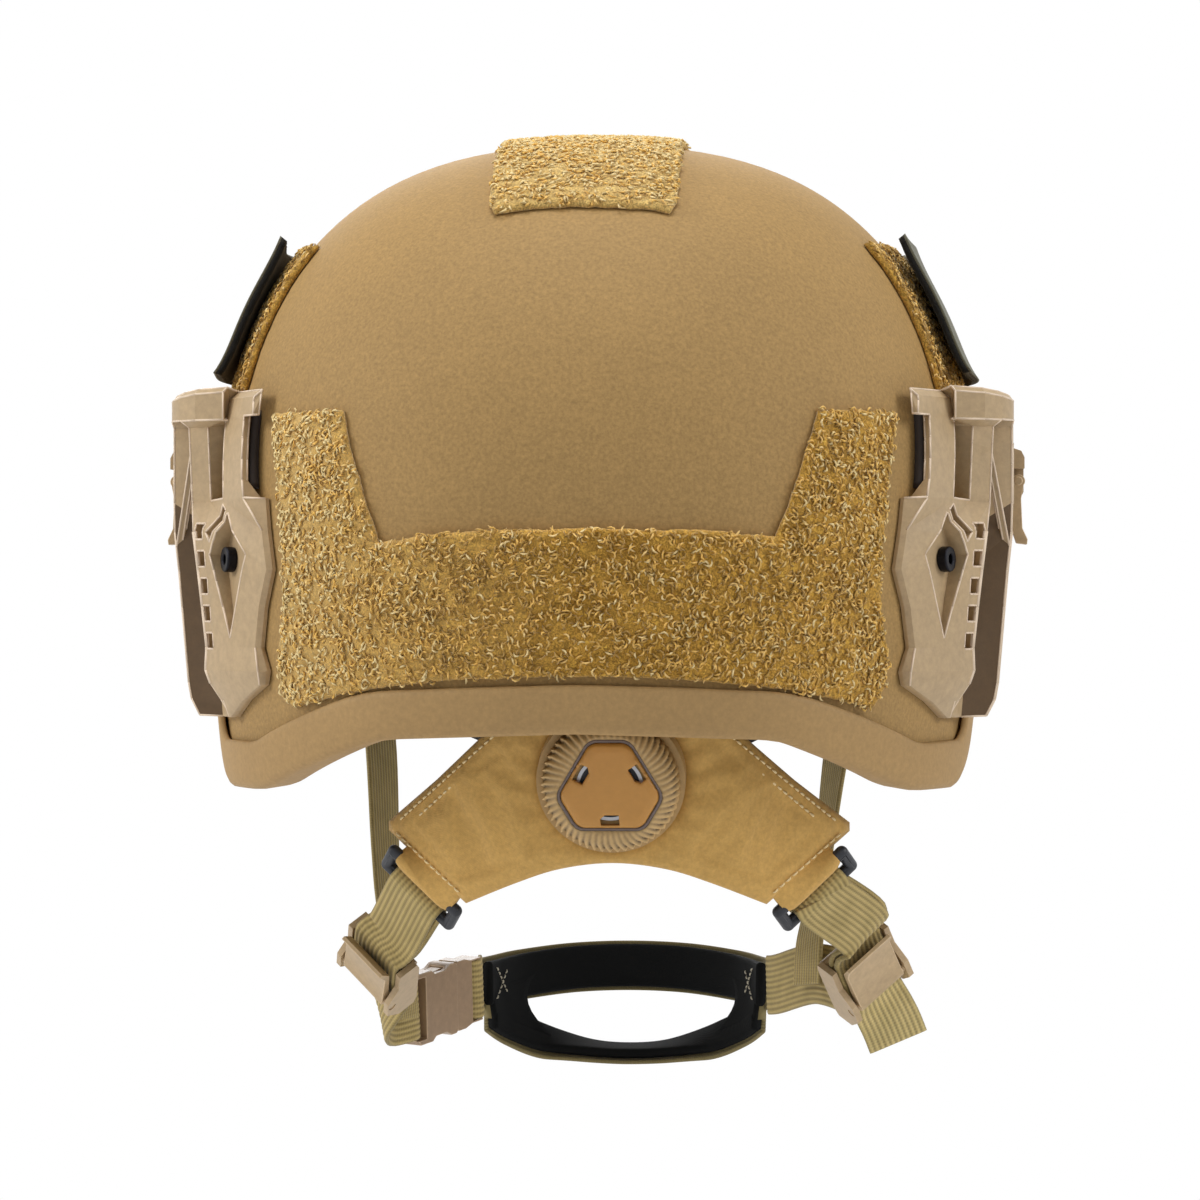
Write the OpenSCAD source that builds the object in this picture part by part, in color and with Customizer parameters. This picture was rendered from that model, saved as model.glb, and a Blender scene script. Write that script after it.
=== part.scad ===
// High-cut combat helmet: ballistic shell, edge trim, loop panels, side rails,
// front bracket, impact liner, dial-adjusted nape harness and four-point chin strap.
// The front of the helmet faces -Y, and the origin is the centre of the wearer's head.

/* [Shell] */
// Width of the shell across the ears
shell_width = 234; // [226:1:242]
// From the centre of the head to the back of the shell
shell_rear = 138; // [134:1:142]
// From the centre of the head to the front of the shell
shell_front = 142; // [138:1:146]
// From the centre of the head to the crown
crown_height = 140.5; // [137:0.5:144]
// Thickness of the laminated wall
wall = 8.5; // [7.5:0.25:10]
// Squareness of the shell seen from above
plan_power = 2.25; // [2.2:0.01:2.3]
// Squareness of the shell seen from behind
crown_power = 2.6; // [2.55:0.01:2.65]

/* [Edge] */
// Height of the edge at the nape
nape_edge = -36; // [-38:0.5:-34]
// Height of the edge at the low corner behind the ear
corner_edge = -54; // [-56:0.5:-52]
// Height of the edge over the ear
ear_edge = 14; // [12:0.5:16]
// Height of the edge over the brow
brow_edge = 20; // [17:0.5:23]
// Depth of the rubber trim over the outside of the edge
trim_depth = 12; // [9:0.5:13]
// Thickness of the rubber trim
trim_thickness = 2; // [1.5:0.1:2.5]

/* [Loop panels] */
// Thickness of the loop fastener
loop_thickness = 2.8; // [2:0.1:3.5]
// Width of the crown panel
crown_panel_width = 55; // [50:1:60]
// Height of the rear band's top edge
rear_band_top = 20; // [16:0.5:23]
// Height of the rear panel's arms
rear_arm_top = 55; // [50:0.5:58]

/* [Rails] */
// How far the track stands out from the side of the shell
track_stand = 10.5; // [9:0.5:12]
// Height of the track's mouth
track_mouth = 17; // [15:0.5:18]
// Depth of the track's groove
track_depth = 5; // [4:0.25:5.5]
// Length of the accessory slide
slide_length = 40; // [34:1:44]
// Radius of the accessory hole in the slide
slide_hole_radius = 2.1; // [1.6:0.1:2.6]
// Radius of the bolts through rail and shell
bolt_radius = 2.4; // [2:0.1:2.8]

/* [Front bracket] */
// Width of the front bracket
bracket_width = 56; // [50:1:62]
// Height of the front bracket
bracket_height = 54; // [52:1:58]
// Radius of the bracket's screw holes
bracket_hole_radius = 2.1; // [1.8:0.1:2.4]

/* [Liner] */
// Thickness of the impact liner
liner_thickness = 14; // [11:0.5:16]
// Thickness of the comfort pads
pad_thickness = 8; // [6:0.5:10]

/* [Nape harness] */
// Sideways hang of the nape harness
nape_shift = -9; // [-10:0.5:2]
// Thickness of the nape pad
nape_thickness = 9; // [7:0.5:10]
// Outside diameter of the dial
dial_diameter = 41; // [37:0.5:43]
// Travel of the dial when it is pulled out to let the lace go
dial_pull = 2.5; // [2:0.25:3]

/* [Chin strap] */
// Width of the webbing
webbing_width = 19; // [17:0.5:20]
// Thickness of the webbing
webbing_thickness = 1.8; // [1.4:0.1:2]
// Thickness of the chin cup
cup_thickness = 5; // [4:0.25:6]
// Width of the chin cup's bands
cup_band = 15; // [13:0.5:16]

/* [Hidden] */
fit_gap = 0.3;
trim_lip = 2.6;
mm_per_degree = 2.1;
crown_steps = 11;
apex_angle = 85;

tan_paint = [0.66, 0.54, 0.38];
rubber_tan = [0.61, 0.49, 0.32];
loop_tan = [0.62, 0.48, 0.24];
tan_plastic = [0.69, 0.59, 0.45];
nape_tan = [0.67, 0.53, 0.31];
nape_tan_dark = [0.6, 0.47, 0.28];
dial_tan = [0.66, 0.52, 0.32];
cap_orange = [0.69, 0.52, 0.29];
webbing_olive = [0.63, 0.56, 0.37];
buckle_brown = [0.52, 0.43, 0.31];
foam_dark = [0.2, 0.2, 0.21];
pad_black = [0.1, 0.1, 0.1];
black_plastic = [0.14, 0.15, 0.18];
black_oxide = [0.09, 0.09, 0.1];
dark_metal = [0.22, 0.21, 0.2];
steel = [0.6, 0.6, 0.6];

function side_sign(v) = v < 0 ? -1 : 1;
function signed_power(v, e) = side_sign(v) * pow(abs(v), e);
function mix(a, b, t) = a + (b - a) * t;
function unit(v) = v / max(norm(v), 1e-9);

// Share of the full plan size that the shell has at height z
function plan_share(z) =
    z > 0 ? pow(max(0, 1 - pow(z / crown_height, crown_power)), 1 / crown_power)
          : 1 - 0.035 * pow(z / 60, 2);
function half_length(y) = y > 0 ? shell_rear : shell_front;
function plan_radius(x, y) =
    pow(pow(abs(x) / (shell_width / 2), plan_power) + pow(abs(y) / half_length(y), plan_power),
        1 / plan_power);

// The outer surface is where level is zero
function level(p) =
    let (r = plan_radius(p.x, p.y))
    p.z > 0 ? pow(pow(r, crown_power) + pow(p.z / crown_height, crown_power), 1 / crown_power) - 1
            : r / plan_share(p.z) - 1;
function outward(p) =
    let (d = 0.05)
    unit([level(p + [d, 0, 0]) - level(p - [d, 0, 0]),
          level(p + [0, d, 0]) - level(p - [0, d, 0]),
          level(p + [0, 0, d]) - level(p - [0, 0, d])]);
function lift(p, h) = h == 0 ? p : p + h * outward(p);

// A point h above the outer surface: at an angle from the back and a height,
// at a place on the left side, at a place on the back or front, or over a place on the plan
function at_angle(a, z, h = 0) =
    let (k = plan_share(z))
    lift([shell_width / 2 * k * signed_power(sin(a), 2 / plan_power),
          (cos(a) > 0 ? shell_rear : shell_front) * k * signed_power(cos(a), 2 / plan_power), z], h);
function at_side(y, z, h = 0) =
    let (k = pow(plan_share(z), plan_power) - pow(abs(y) / half_length(y), plan_power))
    lift([shell_width / 2 * pow(max(k, 0), 1 / plan_power), y, z], h);
function at_end(dir, x, z, h = 0) =
    let (k = pow(plan_share(z), plan_power) - pow(abs(x) / (shell_width / 2), plan_power))
    lift([x, dir * half_length(dir) * pow(max(k, 0), 1 / plan_power), z], h);
function at_top(x, y, h = 0) =
    lift([x, y, crown_height * pow(max(0, 1 - pow(plan_radius(x, y), crown_power)), 1 / crown_power)], h);

// Path through corner points [u, v, radius], with round corners
function corner_arc(p, q, r, radius) =
    let (a = unit(p - q), b = unit(r - q), half = acos(max(-1, min(1, a * b))) / 2,
         c = q + unit(a + b) * radius / sin(half),
         s = q + a * radius / tan(half) - c, e = q + b * radius / tan(half) - c,
         from = atan2(s.y, s.x), turn = (atan2(e.y, e.x) - from + 540) % 360 - 180,
         n = max(2, ceil(abs(turn) / 20)))
    [for (i = [0:n]) c + radius * [cos(from + turn * i / n), sin(from + turn * i / n)]];
function rounded_path(keys) =
    [for (i = [0:len(keys) - 1])
        let (q = [keys[i].x, keys[i].y])
        each i == 0 || i == len(keys) - 1 || keys[i].z == 0 ? [q]
            : corner_arc([keys[i - 1].x, keys[i - 1].y], q, [keys[i + 1].x, keys[i + 1].y], keys[i].z)];
function split_path(path, step) =
    [for (i = [0:len(path) - 2])
        let (n = max(1, ceil(norm(path[i + 1] - path[i]) / step)))
        each [for (k = [0:n - 1]) mix(path[i], path[i + 1], k / n)],
     path[len(path) - 1]];

// Edge of the shell: angle from the back and height, from the nape to the brow
half_edge = [for (p = split_path(rounded_path([
        [0, nape_edge, 0],
        [28 * mm_per_degree, nape_edge - 2, 70],
        [55 * mm_per_degree, corner_edge, 50],
        [76 * mm_per_degree, corner_edge, 17],
        [84 * mm_per_degree, ear_edge, 20],
        [128 * mm_per_degree, ear_edge - 5, 90],
        [160 * mm_per_degree, brow_edge, 90],
        [180 * mm_per_degree, brow_edge, 0]]), 17)) [p.x / mm_per_degree, p.y]];
edge = [each half_edge, each [for (i = [len(half_edge) - 2:-1:1]) [360 - half_edge[i].x, half_edge[i].y]]];

// Steps up the shell, even along its curve
function rise_angle(z) = z > 0 ? asin(pow(z / crown_height, crown_power / 2)) : z * 78 / crown_height;
function rise_height(t) = t > 0 ? crown_height * pow(sin(t), 2 / crown_power) : t * crown_height / 78;
function crown_column(a, z, h, steps) =
    let (low = rise_angle(z))
    [for (i = [0:steps]) at_angle(a, rise_height(mix(low, apex_angle, i / steps)), h)];

// Solid between two matching grids of points. Cells that keep refuses are left open,
// and a loop joins the last column to the first.
module plate(top, base, keep = function(i, j) true, loop = false) {
    rows = len(top);
    cols = len(top[0]);
    n = rows * cols;
    at = function(i, j) i * cols + j % cols;
    kept = function(i, j)
        i >= 0 && i < rows - 1 && (loop || (j >= 0 && j < cols - 1)) && keep(i, (j + cols) % cols);
    faces = [for (i = [0:rows - 2], j = [0:cols - (loop ? 1 : 2)]) if (kept(i, j))
        let (a = at(i, j), b = at(i, j + 1), c = at(i + 1, j + 1), d = at(i + 1, j))
        each [[a, b, c], [a, c, d], [n + a, n + c, n + b], [n + a, n + d, n + c],
              each kept(i - 1, j) ? [] : [[a, n + a, n + b], [a, n + b, b]],
              each kept(i + 1, j) ? [] : [[d, c, n + c], [d, n + c, n + d]],
              each kept(i, j - 1) ? [] : [[a, d, n + d], [a, n + d, n + a]],
              each kept(i, j + 1) ? [] : [[b, n + b, n + c], [b, n + c, c]]]];
    polyhedron([for (row = top) each row, for (row = base) each row], faces);
}

// Solid along rings of points: closed on itself, or with flat ends
module tube(rings, loop = false) {
    cols = len(rings[0]);
    n = len(rings);
    at = function(i, j) (i % n) * cols + j % cols;
    faces = [for (i = [0:n - (loop ? 1 : 2)], j = [0:cols - 1])
        let (a = at(i, j), b = at(i, j + 1), c = at(i + 1, j + 1), d = at(i + 1, j))
        each j < cols / 2 ? [[a, b, c], [a, c, d]] : [[a, b, d], [b, c, d]]];
    ends = loop ? [] : [[for (j = [cols - 1:-1:0]) at(0, j)], [for (j = [0:cols - 1]) at(n - 1, j)]];
    polyhedron([for (r = rings) each r], [each faces, each ends]);
}

// Bowl between two depths under the outer surface, open below a rim of [angle, height]
module bowl(rim, outer, inner, steps) {
    cols = len(rim);
    rows = steps + 1;
    top = [for (r = rim) crown_column(r.x, r.y, outer, steps)];
    base = [for (r = rim) crown_column(r.x, r.y, inner, steps)];
    n = rows * cols;
    at = function(i, j) (j % cols) * rows + i;
    faces = [for (j = [0:cols - 1]) each [
        for (i = [0:rows - 2])
            let (a = at(i, j), b = at(i, j + 1), c = at(i + 1, j + 1), d = at(i + 1, j))
            each [[a, b, c], [a, c, d], [n + a, n + c, n + b], [n + a, n + d, n + c]],
        [at(0, j), n + at(0, j), n + at(0, j + 1)],
        [at(0, j), n + at(0, j + 1), at(0, j + 1)],
        [at(rows - 1, j), at(rows - 1, j + 1), 2 * n],
        [n + at(rows - 1, j), 2 * n + 1, n + at(rows - 1, j + 1)]]];
    polyhedron([for (c = top) each c, for (c = base) each c,
                [0, 0, crown_height + outer], [0, 0, crown_height + inner]], faces);
}

module shell() {
    color(tan_paint) difference() {
        bowl(edge, 0, -wall, crown_steps);
        both_sides() for (b = bolt_places) at_bolt(b)
            translate([0, 0, -wall - 10]) cylinder(r = bolt_radius + fit_gap, h = wall + 20, $fn = 24);
        at_bracket() for (p = bracket_holes)
            translate([p.x, p.y, -wall - 10]) cylinder(r = bracket_hole_radius, h = wall + 20, $fn = 24);
    }
}

// Frame along the edge: outward, and up across the edge
function edge_up(i) =
    let (n = len(edge), p = edge[(i + n - 1) % n], q = edge[(i + 1) % n],
         along = unit(at_angle(q.x, q.y) - at_angle(p.x, p.y)),
         out = outward(at_angle(edge[i].x, edge[i].y)))
    unit(cross(along, out));
module edge_trim() {
    gap = 1.7 * fit_gap;
    inside = -wall - gap;
    profile = [[gap, -fit_gap], [inside, -fit_gap], [inside, trim_depth - 3],
               [inside - trim_thickness * 0.8, trim_depth - 3], [inside - trim_thickness, -trim_lip * 0.4],
               [-wall, -trim_lip], [0, -trim_lip], [gap + trim_thickness, -trim_lip * 0.4],
               [gap + trim_thickness, trim_depth - 1.5], [gap + trim_thickness * 0.6, trim_depth],
               [gap, trim_depth]];
    color(rubber_tan)
        tube([for (i = [len(edge) - 1:-1:0])
            let (p = at_angle(edge[i].x, edge[i].y), out = outward(p), up = edge_up(i))
            [for (k = profile) p + k.x * out + k.y * up]], loop = true);
}

// A panel lies on the shell over a grid of points
module panel(grid, thick, keep = function(i, j) true, from = fit_gap) {
    plate([for (row = grid) [for (p = row) lift(p, from + thick)]],
          [for (row = grid) [for (p = row) lift(p, from)]], keep);
}

module crown_loop_panel() {
    w = crown_panel_width / 2;
    color(loop_tan) panel([for (y = [97, 88, 76, 64, 52, 40, 28, 16, 4, -8, -20, -31, -38])
        [for (s = [-1:0.25:1])
            let (end = y > 94 || y < -36 ? 4 * pow(max(0, abs(s) - 0.7) / 0.3, 2) : 0)
            at_top(s * w, y - side_sign(y) * end - (y > 80 ? 3 * s * s : 0))]], loop_thickness);
}

// A band over the nape with an arm up each side
rear_rows = [-30, -20, -8, 4, 12, rear_band_top, rear_band_top + 9, rear_arm_top - 17, rear_arm_top - 8,
             rear_arm_top];
module rear_loop_panel() {
    outer = [[-40, 44], [-22, 47.5], [0, 45], [18, 46], [36, 48], [58, 52]];
    inner = [[-40, 25.5], [16, 25.5], [58, 35.5]];
    steps = [-1, -0.8, -0.6, -0.4, -0.27, -0.13, 0, 0.13, 0.27, 0.4, 0.6, 0.8, 1];
    angle = function(s, z)
        let (o = lookup(z, outer), i = lookup(z, inner), t = abs(s))
        side_sign(s) * (t > 0.39 ? mix(i, o, (t - 0.4) / 0.6) : i * t / 0.4);
    bottom = function(a) nape_edge + trim_depth + 2 - 9.5 * pow(abs(a) / 44, 2);
    color(loop_tan) panel([for (i = [0:len(rear_rows) - 1])
        [for (s = steps)
            let (a = angle(s, rear_rows[i]),
                 z = i < 3 ? mix(bottom(a), rear_rows[3], [0, 0.4, 0.7][i]) : rear_rows[i])
            at_angle(a, z)]], loop_thickness,
        function(i, j) rear_rows[i] < rear_band_top || j < 3 || j > 8);
}

module front_loop_panel() {
    low = bracket_centre + bracket_height / 2 + 6;
    color(loop_tan) panel([for (share = [0, 0.26, 0.52, 0.78, 1])
        [for (x = [36:-9:-36]) at_end(-1, x, mix(low, crown_height - 22.5, share) - 0.004 * x * x)]],
        loop_thickness);
}

cover_rows = [66, 74, 82, 90, 98, 104];
module side_loop_panel() {
    low = rail_top + 1.5;
    color(loop_tan) panel([for (up = [0, 9, 18, 27, 36, 44])
        [for (y = [56, 46, 34, 22, 10, -2, -14, -26, -38, -48, -56])
            at_side(y - up * 0.12 * side_sign(y), low + up)]], loop_thickness);
}
// A stiff cover held by its hooks, standing proud at its edges
module side_cover() {
    curl = function(y, z) 1.2 + 3 * pow(abs(y) / 50, 4) + 2.5 * pow(abs(z - 85) / 20, 4);
    grid = [for (z = cover_rows) [for (y = [50, 40, 28, 16, 4, -8, -20, -32, -42, -50])
        at_side(y - (z - 66) * 0.12 * side_sign(y), z, loop_thickness + fit_gap + curl(y, z) - 0.9)]];
    color([0.42, 0.41, 0.33])
        plate([for (row = grid) [for (p = row) lift(p, 2.6)]], grid);
}

// Rail, left side. Rows run up. Columns run forward: the wavy rear edge, the face of the leg,
// its ridge, the groove and the lip behind the ear, and then the track.
track_out = shell_width / 2 + track_stand;
track_in = track_out - track_depth;
track_low = 30;
track_high = track_low + track_mouth;
track_cut = 2.5;
track_back = 46;
track_front = -44;
rail_bottom = -35;
rail_top = 61.5;
bolt_places = [[75.5, 12, 3.3], [-84, 40, 4.5]];
rail_rows = [rail_bottom, -30, -25, -21, -14, -2, 9, 20.5, track_low - 0.6, track_low, track_low + 5, track_high - 6,
    track_high, track_high + 0.6, 52, 54, 60, rail_top];
rail_rear = [[-35, 68], [-30, 79], [-25, 91], [-21, 92.5], [-12, 89], [9, 96], [33, 90], [54, 84.5], [62, 82]];
strut_rear = [[30, 86.5], [35, 84.5], [52, 79.5], [62, 76]];
strut_front = [[30, 72], [35, 70.4], [52, 63.9], [62, 62.4]];
strut_gap = 4.4;
strut_face = 6.4;
ridge_out = [[-36, -11], [-31, -7], [-25, -3], [3, 0], [29, 3.2], [54, 4.3]];
lip_out = [[-36, 1.5], [-31, 4.5], [-25, 5.6], [14, 9], [22, 10]];
groove_floor = 2.5;
rail_tip = -96;
rail_track = [track_back, track_back - 2, 30, 16, 2, -12, -26, track_front + 2, track_front,
    track_front - 3, -58, -72, -86, rail_tip];
leg_cols = 9;
leg_front = 48;
function is_upper(z) = z > 25;
function rail_y(j, z) =
    let (rear = lookup(z, rail_rear))
    j >= leg_cols ? rail_track[j - leg_cols]
        : is_upper(z) ? [rear, lookup(z, strut_rear), lookup(z, strut_front), 60.5, 58.5, 56.5, 53, 50.5,
                         leg_front][j]
        : [rear, rear - 0.9, mix(rear, 63, 0.42), mix(rear, 63, 0.8), 62.5, 59, 53, 50.5, leg_front][j];
function ridge(z) = [shell_width / 2 + lookup(z, ridge_out), is_upper(z) ? 60 : 66, z];
function foot(z) = at_side(lookup(z, rail_rear) - 0.9, z, 3.1);
// Along the face from the ridge, and square out of it
function face_along(z) = unit([foot(z).x - ridge(z).x, foot(z).y - ridge(z).y, 0]);
function face_out(z) = [face_along(z).y, -face_along(z).x, 0];
function leg_low(j, z) =
    let (fold = lookup(z, [[-25, 0], [-21, 1.2], [-14, 0]]) * face_out(z))
    [at_side(lookup(z, rail_rear), z, 1.6), foot(z) + fold, mix(foot(z), ridge(z), 0.42) + fold + face_out(z),
     mix(foot(z), ridge(z), 0.8) + fold + 0.6 * face_out(z), ridge(z) + fold][j];
function leg_high(j, z) =
    let (top = z > 53 ? lookup(z, [[54, 0.5], [60, 2.6]]) : 0)
    [at_side(lookup(z, rail_rear), z - top, z > 53 ? strut_face : 1.6),
     at_side(lookup(z, strut_rear), z - top, strut_face),
     at_side(lookup(z, strut_front), z - top, strut_face), ridge(z) + [-6.3, 4, 0], ridge(z)][j];
// The roof over the strut and the groove, with its top edge drawn in
roof = [[-7.5, 70, 2.4], [1.5, 66, 2], [6.7, 60.5, 1.2], [9.6, 55, 0.4], [10.5, 51.5, 0], [10.5, leg_front, 0]];
function roof_point(j, z) =
    [shell_width / 2 + roof[j - 3].x, roof[j - 3].y, z + (z > 55 ? roof[j - 3].z : 0)]
        - (z > rail_top - 1 ? 1.5 : 0) * [0.8, 0.6, 0];
function leg_out(j, z) =
    z > 53 && j > 2 ? roof_point(j, z)
        : j < 5 ? (is_upper(z) ? leg_high(j, z) : leg_low(j, z))
        : j < 7 ? at_side(rail_y(j, z), z, groove_floor)
        : [shell_width / 2 + min(track_stand, lookup(z, lip_out) + 0.4 * (j - 7)), j < 8 ? 50.5 : leg_front, z];
// The track's lower edge clears the edge trim over the ear
function rail_z(j, z) = z > 20 && z < 21 && j > leg_cols + 1 ? ear_edge + trim_depth + 0.4 : z;
function track_point(j, y, z) =
    let (floor = j > leg_cols && j < leg_cols + 8, mouth = z > track_low - 0.1 && z < track_high + 0.1,
         cut = z < track_low + 1 ? -track_cut : z > track_high - 1 ? track_cut : 0)
    floor && mouth ? [track_in, y, z + cut]
        : floor && abs(z - (track_low - 0.6)) < 0.1 ? [track_out, y, track_low]
        : floor && abs(z - (track_high + 0.6)) < 0.1 ? [track_out, y, track_high]
        : [track_out - (z > rail_top - 1 || z < 21 ? 1.5 : 0), y, rail_z(j, z)];
function rail_out(j, z) =
    let (y = rail_y(j, z), end = leg_cols + 10)
    j < leg_cols ? leg_out(j, z) : j < end ? track_point(j, y, z)
        : at_side(y, rail_z(j, z), (z > 56 || z < 24 ? 4 : 9) - (j > end + 2 ? 3 : j - end));
function rail_under(j, z) = at_side(rail_y(j, z), rail_z(j, z), j < 3 && z > 32 ? strut_gap : fit_gap + 0.1);
notch_places = [20.6, 12.4, 4.2, -4, -12.2];
recess = [[-13.8, 1], [-1.4, 13], [23.3, 3], [-1.4, -6.7]];
brow = [[-14.6, -0.4], [-5.3, -6.1], [-8, -8.2], [-16.4, -3.4]];
module rail() {
    cols = [0:leg_cols + len(rail_track) - 1];
    open = function(z) z > track_low - 0.1 && z < 54.1;
    color(tan_plastic) union() {
        difference() {
            plate([for (z = rail_rows) [for (j = cols) rail_out(j, z)]],
                  [for (z = rail_rows) [for (j = cols) rail_under(j, z)]],
                  function(i, j) (j < leg_cols - 1 || rail_rows[i] > 20)
                      && !(open(rail_rows[i]) && open(rail_rows[i + 1]) && (j == 0 || j == 2)));
            for (b = bolt_places) at_bolt(b) {
                translate([0, 0, -1]) cylinder(r = bolt_radius + fit_gap, h = 40, $fn = 24);
                translate([0, 0, b.z]) cylinder(r = bolt_head + 0.6, h = 40, $fn = 24);
            }
            at_bolt(bolt_places[0]) {
                translate([0, 0, bolt_places[0].z]) linear_extrude(30) polygon(recess);
                translate([0, 0, bolt_places[0].z - 0.4]) linear_extrude(30) polygon(brow);
            }
            for (z = notch_places) notch_frame(z) translate([0.9, -2.3, -2.8]) cube([4.8, 4.6, 9]);
        }
        brace();
    }
}
// Axes at the ridge: along the face, up, and out of it
module notch_frame(z) {
    u = face_along(z);
    n = face_out(z);
    multmatrix([[u.x, 0, n.x, ridge(z).x], [u.y, 0, n.y, ridge(z).y], [0, 1, 0, z], [0, 0, 0, 1]]) children();
}
// A thin brace crosses the groove from the ridge down to the lip
module brace() {
    high = ridge(44) + [-1.2, -0.6, 0];
    low = [shell_width / 2 + 8.4, 49.6, 15];
    tube([for (p = [high, low]) [p + [-0.9, 0.9, 1.4], p + [-0.9, -0.9, -1.4], p + [0.9, -0.9, -1.4],
                                 p + [0.9, 0.9, 1.4]]]);
}

// Bolts stand square to the shell. A bolt's place gives y, height and how far out its head sits.
bolt_head = 3.8;
module aim(p, n) {
    translate(p) rotate([0, acos(max(-1, min(1, n.z))), atan2(n.y, n.x)]) children();
}
module at_bolt(b) {
    p = at_side(b.x, b.y);
    aim(p, outward(p)) children();
}
module both_sides() {
    children();
    mirror([1, 0, 0]) children();
}
module rail_bolts() {
    color(black_oxide) both_sides() for (b = bolt_places) at_bolt(b) {
        translate([0, 0, -wall - 4]) cylinder(r = bolt_radius, h = wall + 4 + b.z + 0.5, $fn = 24);
        difference() {
            translate([0, 0, b.z]) cylinder(r = bolt_head, h = 3.2, $fn = 32);
            translate([0, 0, b.z + 1.4]) cylinder(r = 1.7, h = 3, $fn = 6);
        }
    }
}
// Round nuts with a flange inside the shell hold the harness eyelets
module rail_nuts() {
    color(steel) both_sides() for (b = bolt_places) at_bolt(b)
        difference() {
            union() {
                translate([0, 0, -wall - 5.2]) cylinder(r = 6.5, h = 1.4, $fn = 32);
                translate([0, 0, -wall - 3.9]) cylinder(r = 3.6, h = 3.2, $fn = 32);
            }
            translate([0, 0, -wall - 6]) cylinder(r = bolt_radius + 0.02, h = 7, $fn = 24);
        }
}

// Accessory slide: a dovetail bar in the track, with a sprung latch at its back end
slide_play = 0.3;
slide_back = 26;
slide_front = slide_back - slide_length;
latch_pin_radius = 1.2;
latch_pin_place = [track_out + 2.2, track_low + 6.5];
latch_width = 9;
module rail_slide() {
    low = track_low + slide_play;
    high = track_high - slide_play;
    cut = track_cut * (track_depth - slide_play) / track_depth;
    color(tan_plastic) difference() {
        translate([0, slide_back, 0]) rotate([90, 0, 0]) linear_extrude(slide_length)
            polygon([[track_in + slide_play, low - cut], [track_out, low], [track_out + 3, low + 1],
                     [track_out + 4, low + 3], [track_out + 4, high - 3], [track_out + 3, high - 1],
                     [track_out, high], [track_in + slide_play, high + cut]]);
        for (y = [slide_front + 9, slide_front + 21]) translate([track_in - 1, y, (low + high) / 2])
            rotate([0, 90, 0]) cylinder(r = slide_hole_radius, h = 20, $fn = 32);
        translate([track_out - 1.4, slide_back - latch_width - 1.6, low - 4])
            cube([8, latch_width + 3, 14]);
        translate([latch_pin_place.x, slide_back + 1, latch_pin_place.y]) rotate([90, 0, 0])
            cylinder(r = latch_pin_radius + 0.05, h = latch_width + 6, $fn = 24);
        translate([track_out + 2.6, slide_front - 1, low + 5]) cube([4, 28, high - low - 10]);
    }
}
// The latch hangs from its own pin, and its thumb tab stands out below the slide
module slide_latch() {
    back = slide_back - 1;
    color(tan_plastic) {
        translate([latch_pin_place.x, back, latch_pin_place.y]) rotate([90, 0, 0]) {
            cylinder(r = latch_pin_radius, h = latch_width + 3.5, $fn = 24);
            translate([0, 0, 0.4]) cylinder(r = 2, h = latch_width - 0.8, $fn = 24);
        }
        translate([0, back - 0.4, 0]) rotate([90, 0, 0]) linear_extrude(latch_width - 0.8)
            polygon([[track_out + 0.5, track_low + 6.5], [track_out + 0.4, track_low - 9],
                     [track_out + 1.6, track_low - 12.6], [track_out + 4.8, track_low - 13],
                     [track_out + 5, track_low - 11.4], [track_out + 3.4, track_low - 8],
                     [track_out + 3, track_low + 1], [track_out + 4, track_low + 6.5]]);
    }
}

// Front bracket on the brow: a curved plate, and a flat insert that carries the sockets
bracket_centre = 66;
bracket_nose = at_end(-1, 0, bracket_centre);
bracket_lean = asin(outward(bracket_nose).z);
bracket_plate = 4;
module at_bracket() {
    translate(bracket_nose) rotate([90 - bracket_lean, 0, 0]) children();
}
module front_bracket() {
    w = bracket_width / 2;
    h = bracket_height / 2;
    zs = [-1, -0.86, -0.5, 0, 0.5, 0.86, 1];
    color(tan_plastic) difference() {
        plate(
            [for (v = zs) [for (u = [1, 0.8, 0.5, 0.25, 0, -0.25, -0.5, -0.8, -1])
                at_end(-1, u * w * (1 - 0.22 * v * v), bracket_centre + v * h,
                       abs(u) > 0.9 || abs(v) > 0.9 ? 2 : bracket_plate)]],
            [for (v = zs) [for (u = [1, 0.8, 0.5, 0.25, 0, -0.25, -0.5, -0.8, -1])
                at_end(-1, u * w * (1 - 0.22 * v * v), bracket_centre + v * h, fit_gap)]]);
        at_bracket() {
            for (p = bracket_holes) translate([p.x, p.y, 0]) {
                translate([0, 0, -20]) cylinder(r = bracket_hole_radius, h = 40, $fn = 32);
                translate([0, 0, screw_seat(p)]) cylinder(r = screw_head + 0.4, h = 20, $fn = 32);
            }
            translate([-insert_width / 2 - 0.3, -insert_height / 2 - 0.3, insert_back - 0.3])
                cube([insert_width + 0.6, insert_height + 0.6, 20]);
        }
    }
}
insert_width = 24;
insert_height = 34;
insert_back = 1.6;
bracket_holes = [[-18, 12], [18, 12], [0, -bracket_height / 2 + 5.5]];
screw_head = 3.4;
function screw_seat(p) = bracket_plate - 0.8 - 0.0065 * p.x * p.x;
module bracket_insert() {
    color(dark_metal) at_bracket() translate([0, 0, insert_back]) difference() {
        translate([-insert_width / 2, -insert_height / 2, 0]) cube([insert_width, insert_height, 5]);
        translate([-6, -12, 1.5]) cube([12, 24, 5]);
        translate([-8.5, -9, 1.5]) cube([17, 18, 1.8]);
        for (x = [-1, 1], y = [-1, 1]) translate([x * 9.3, y * 14, -1]) cylinder(r = 1.25, h = 8, $fn = 24);
    }
}
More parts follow.
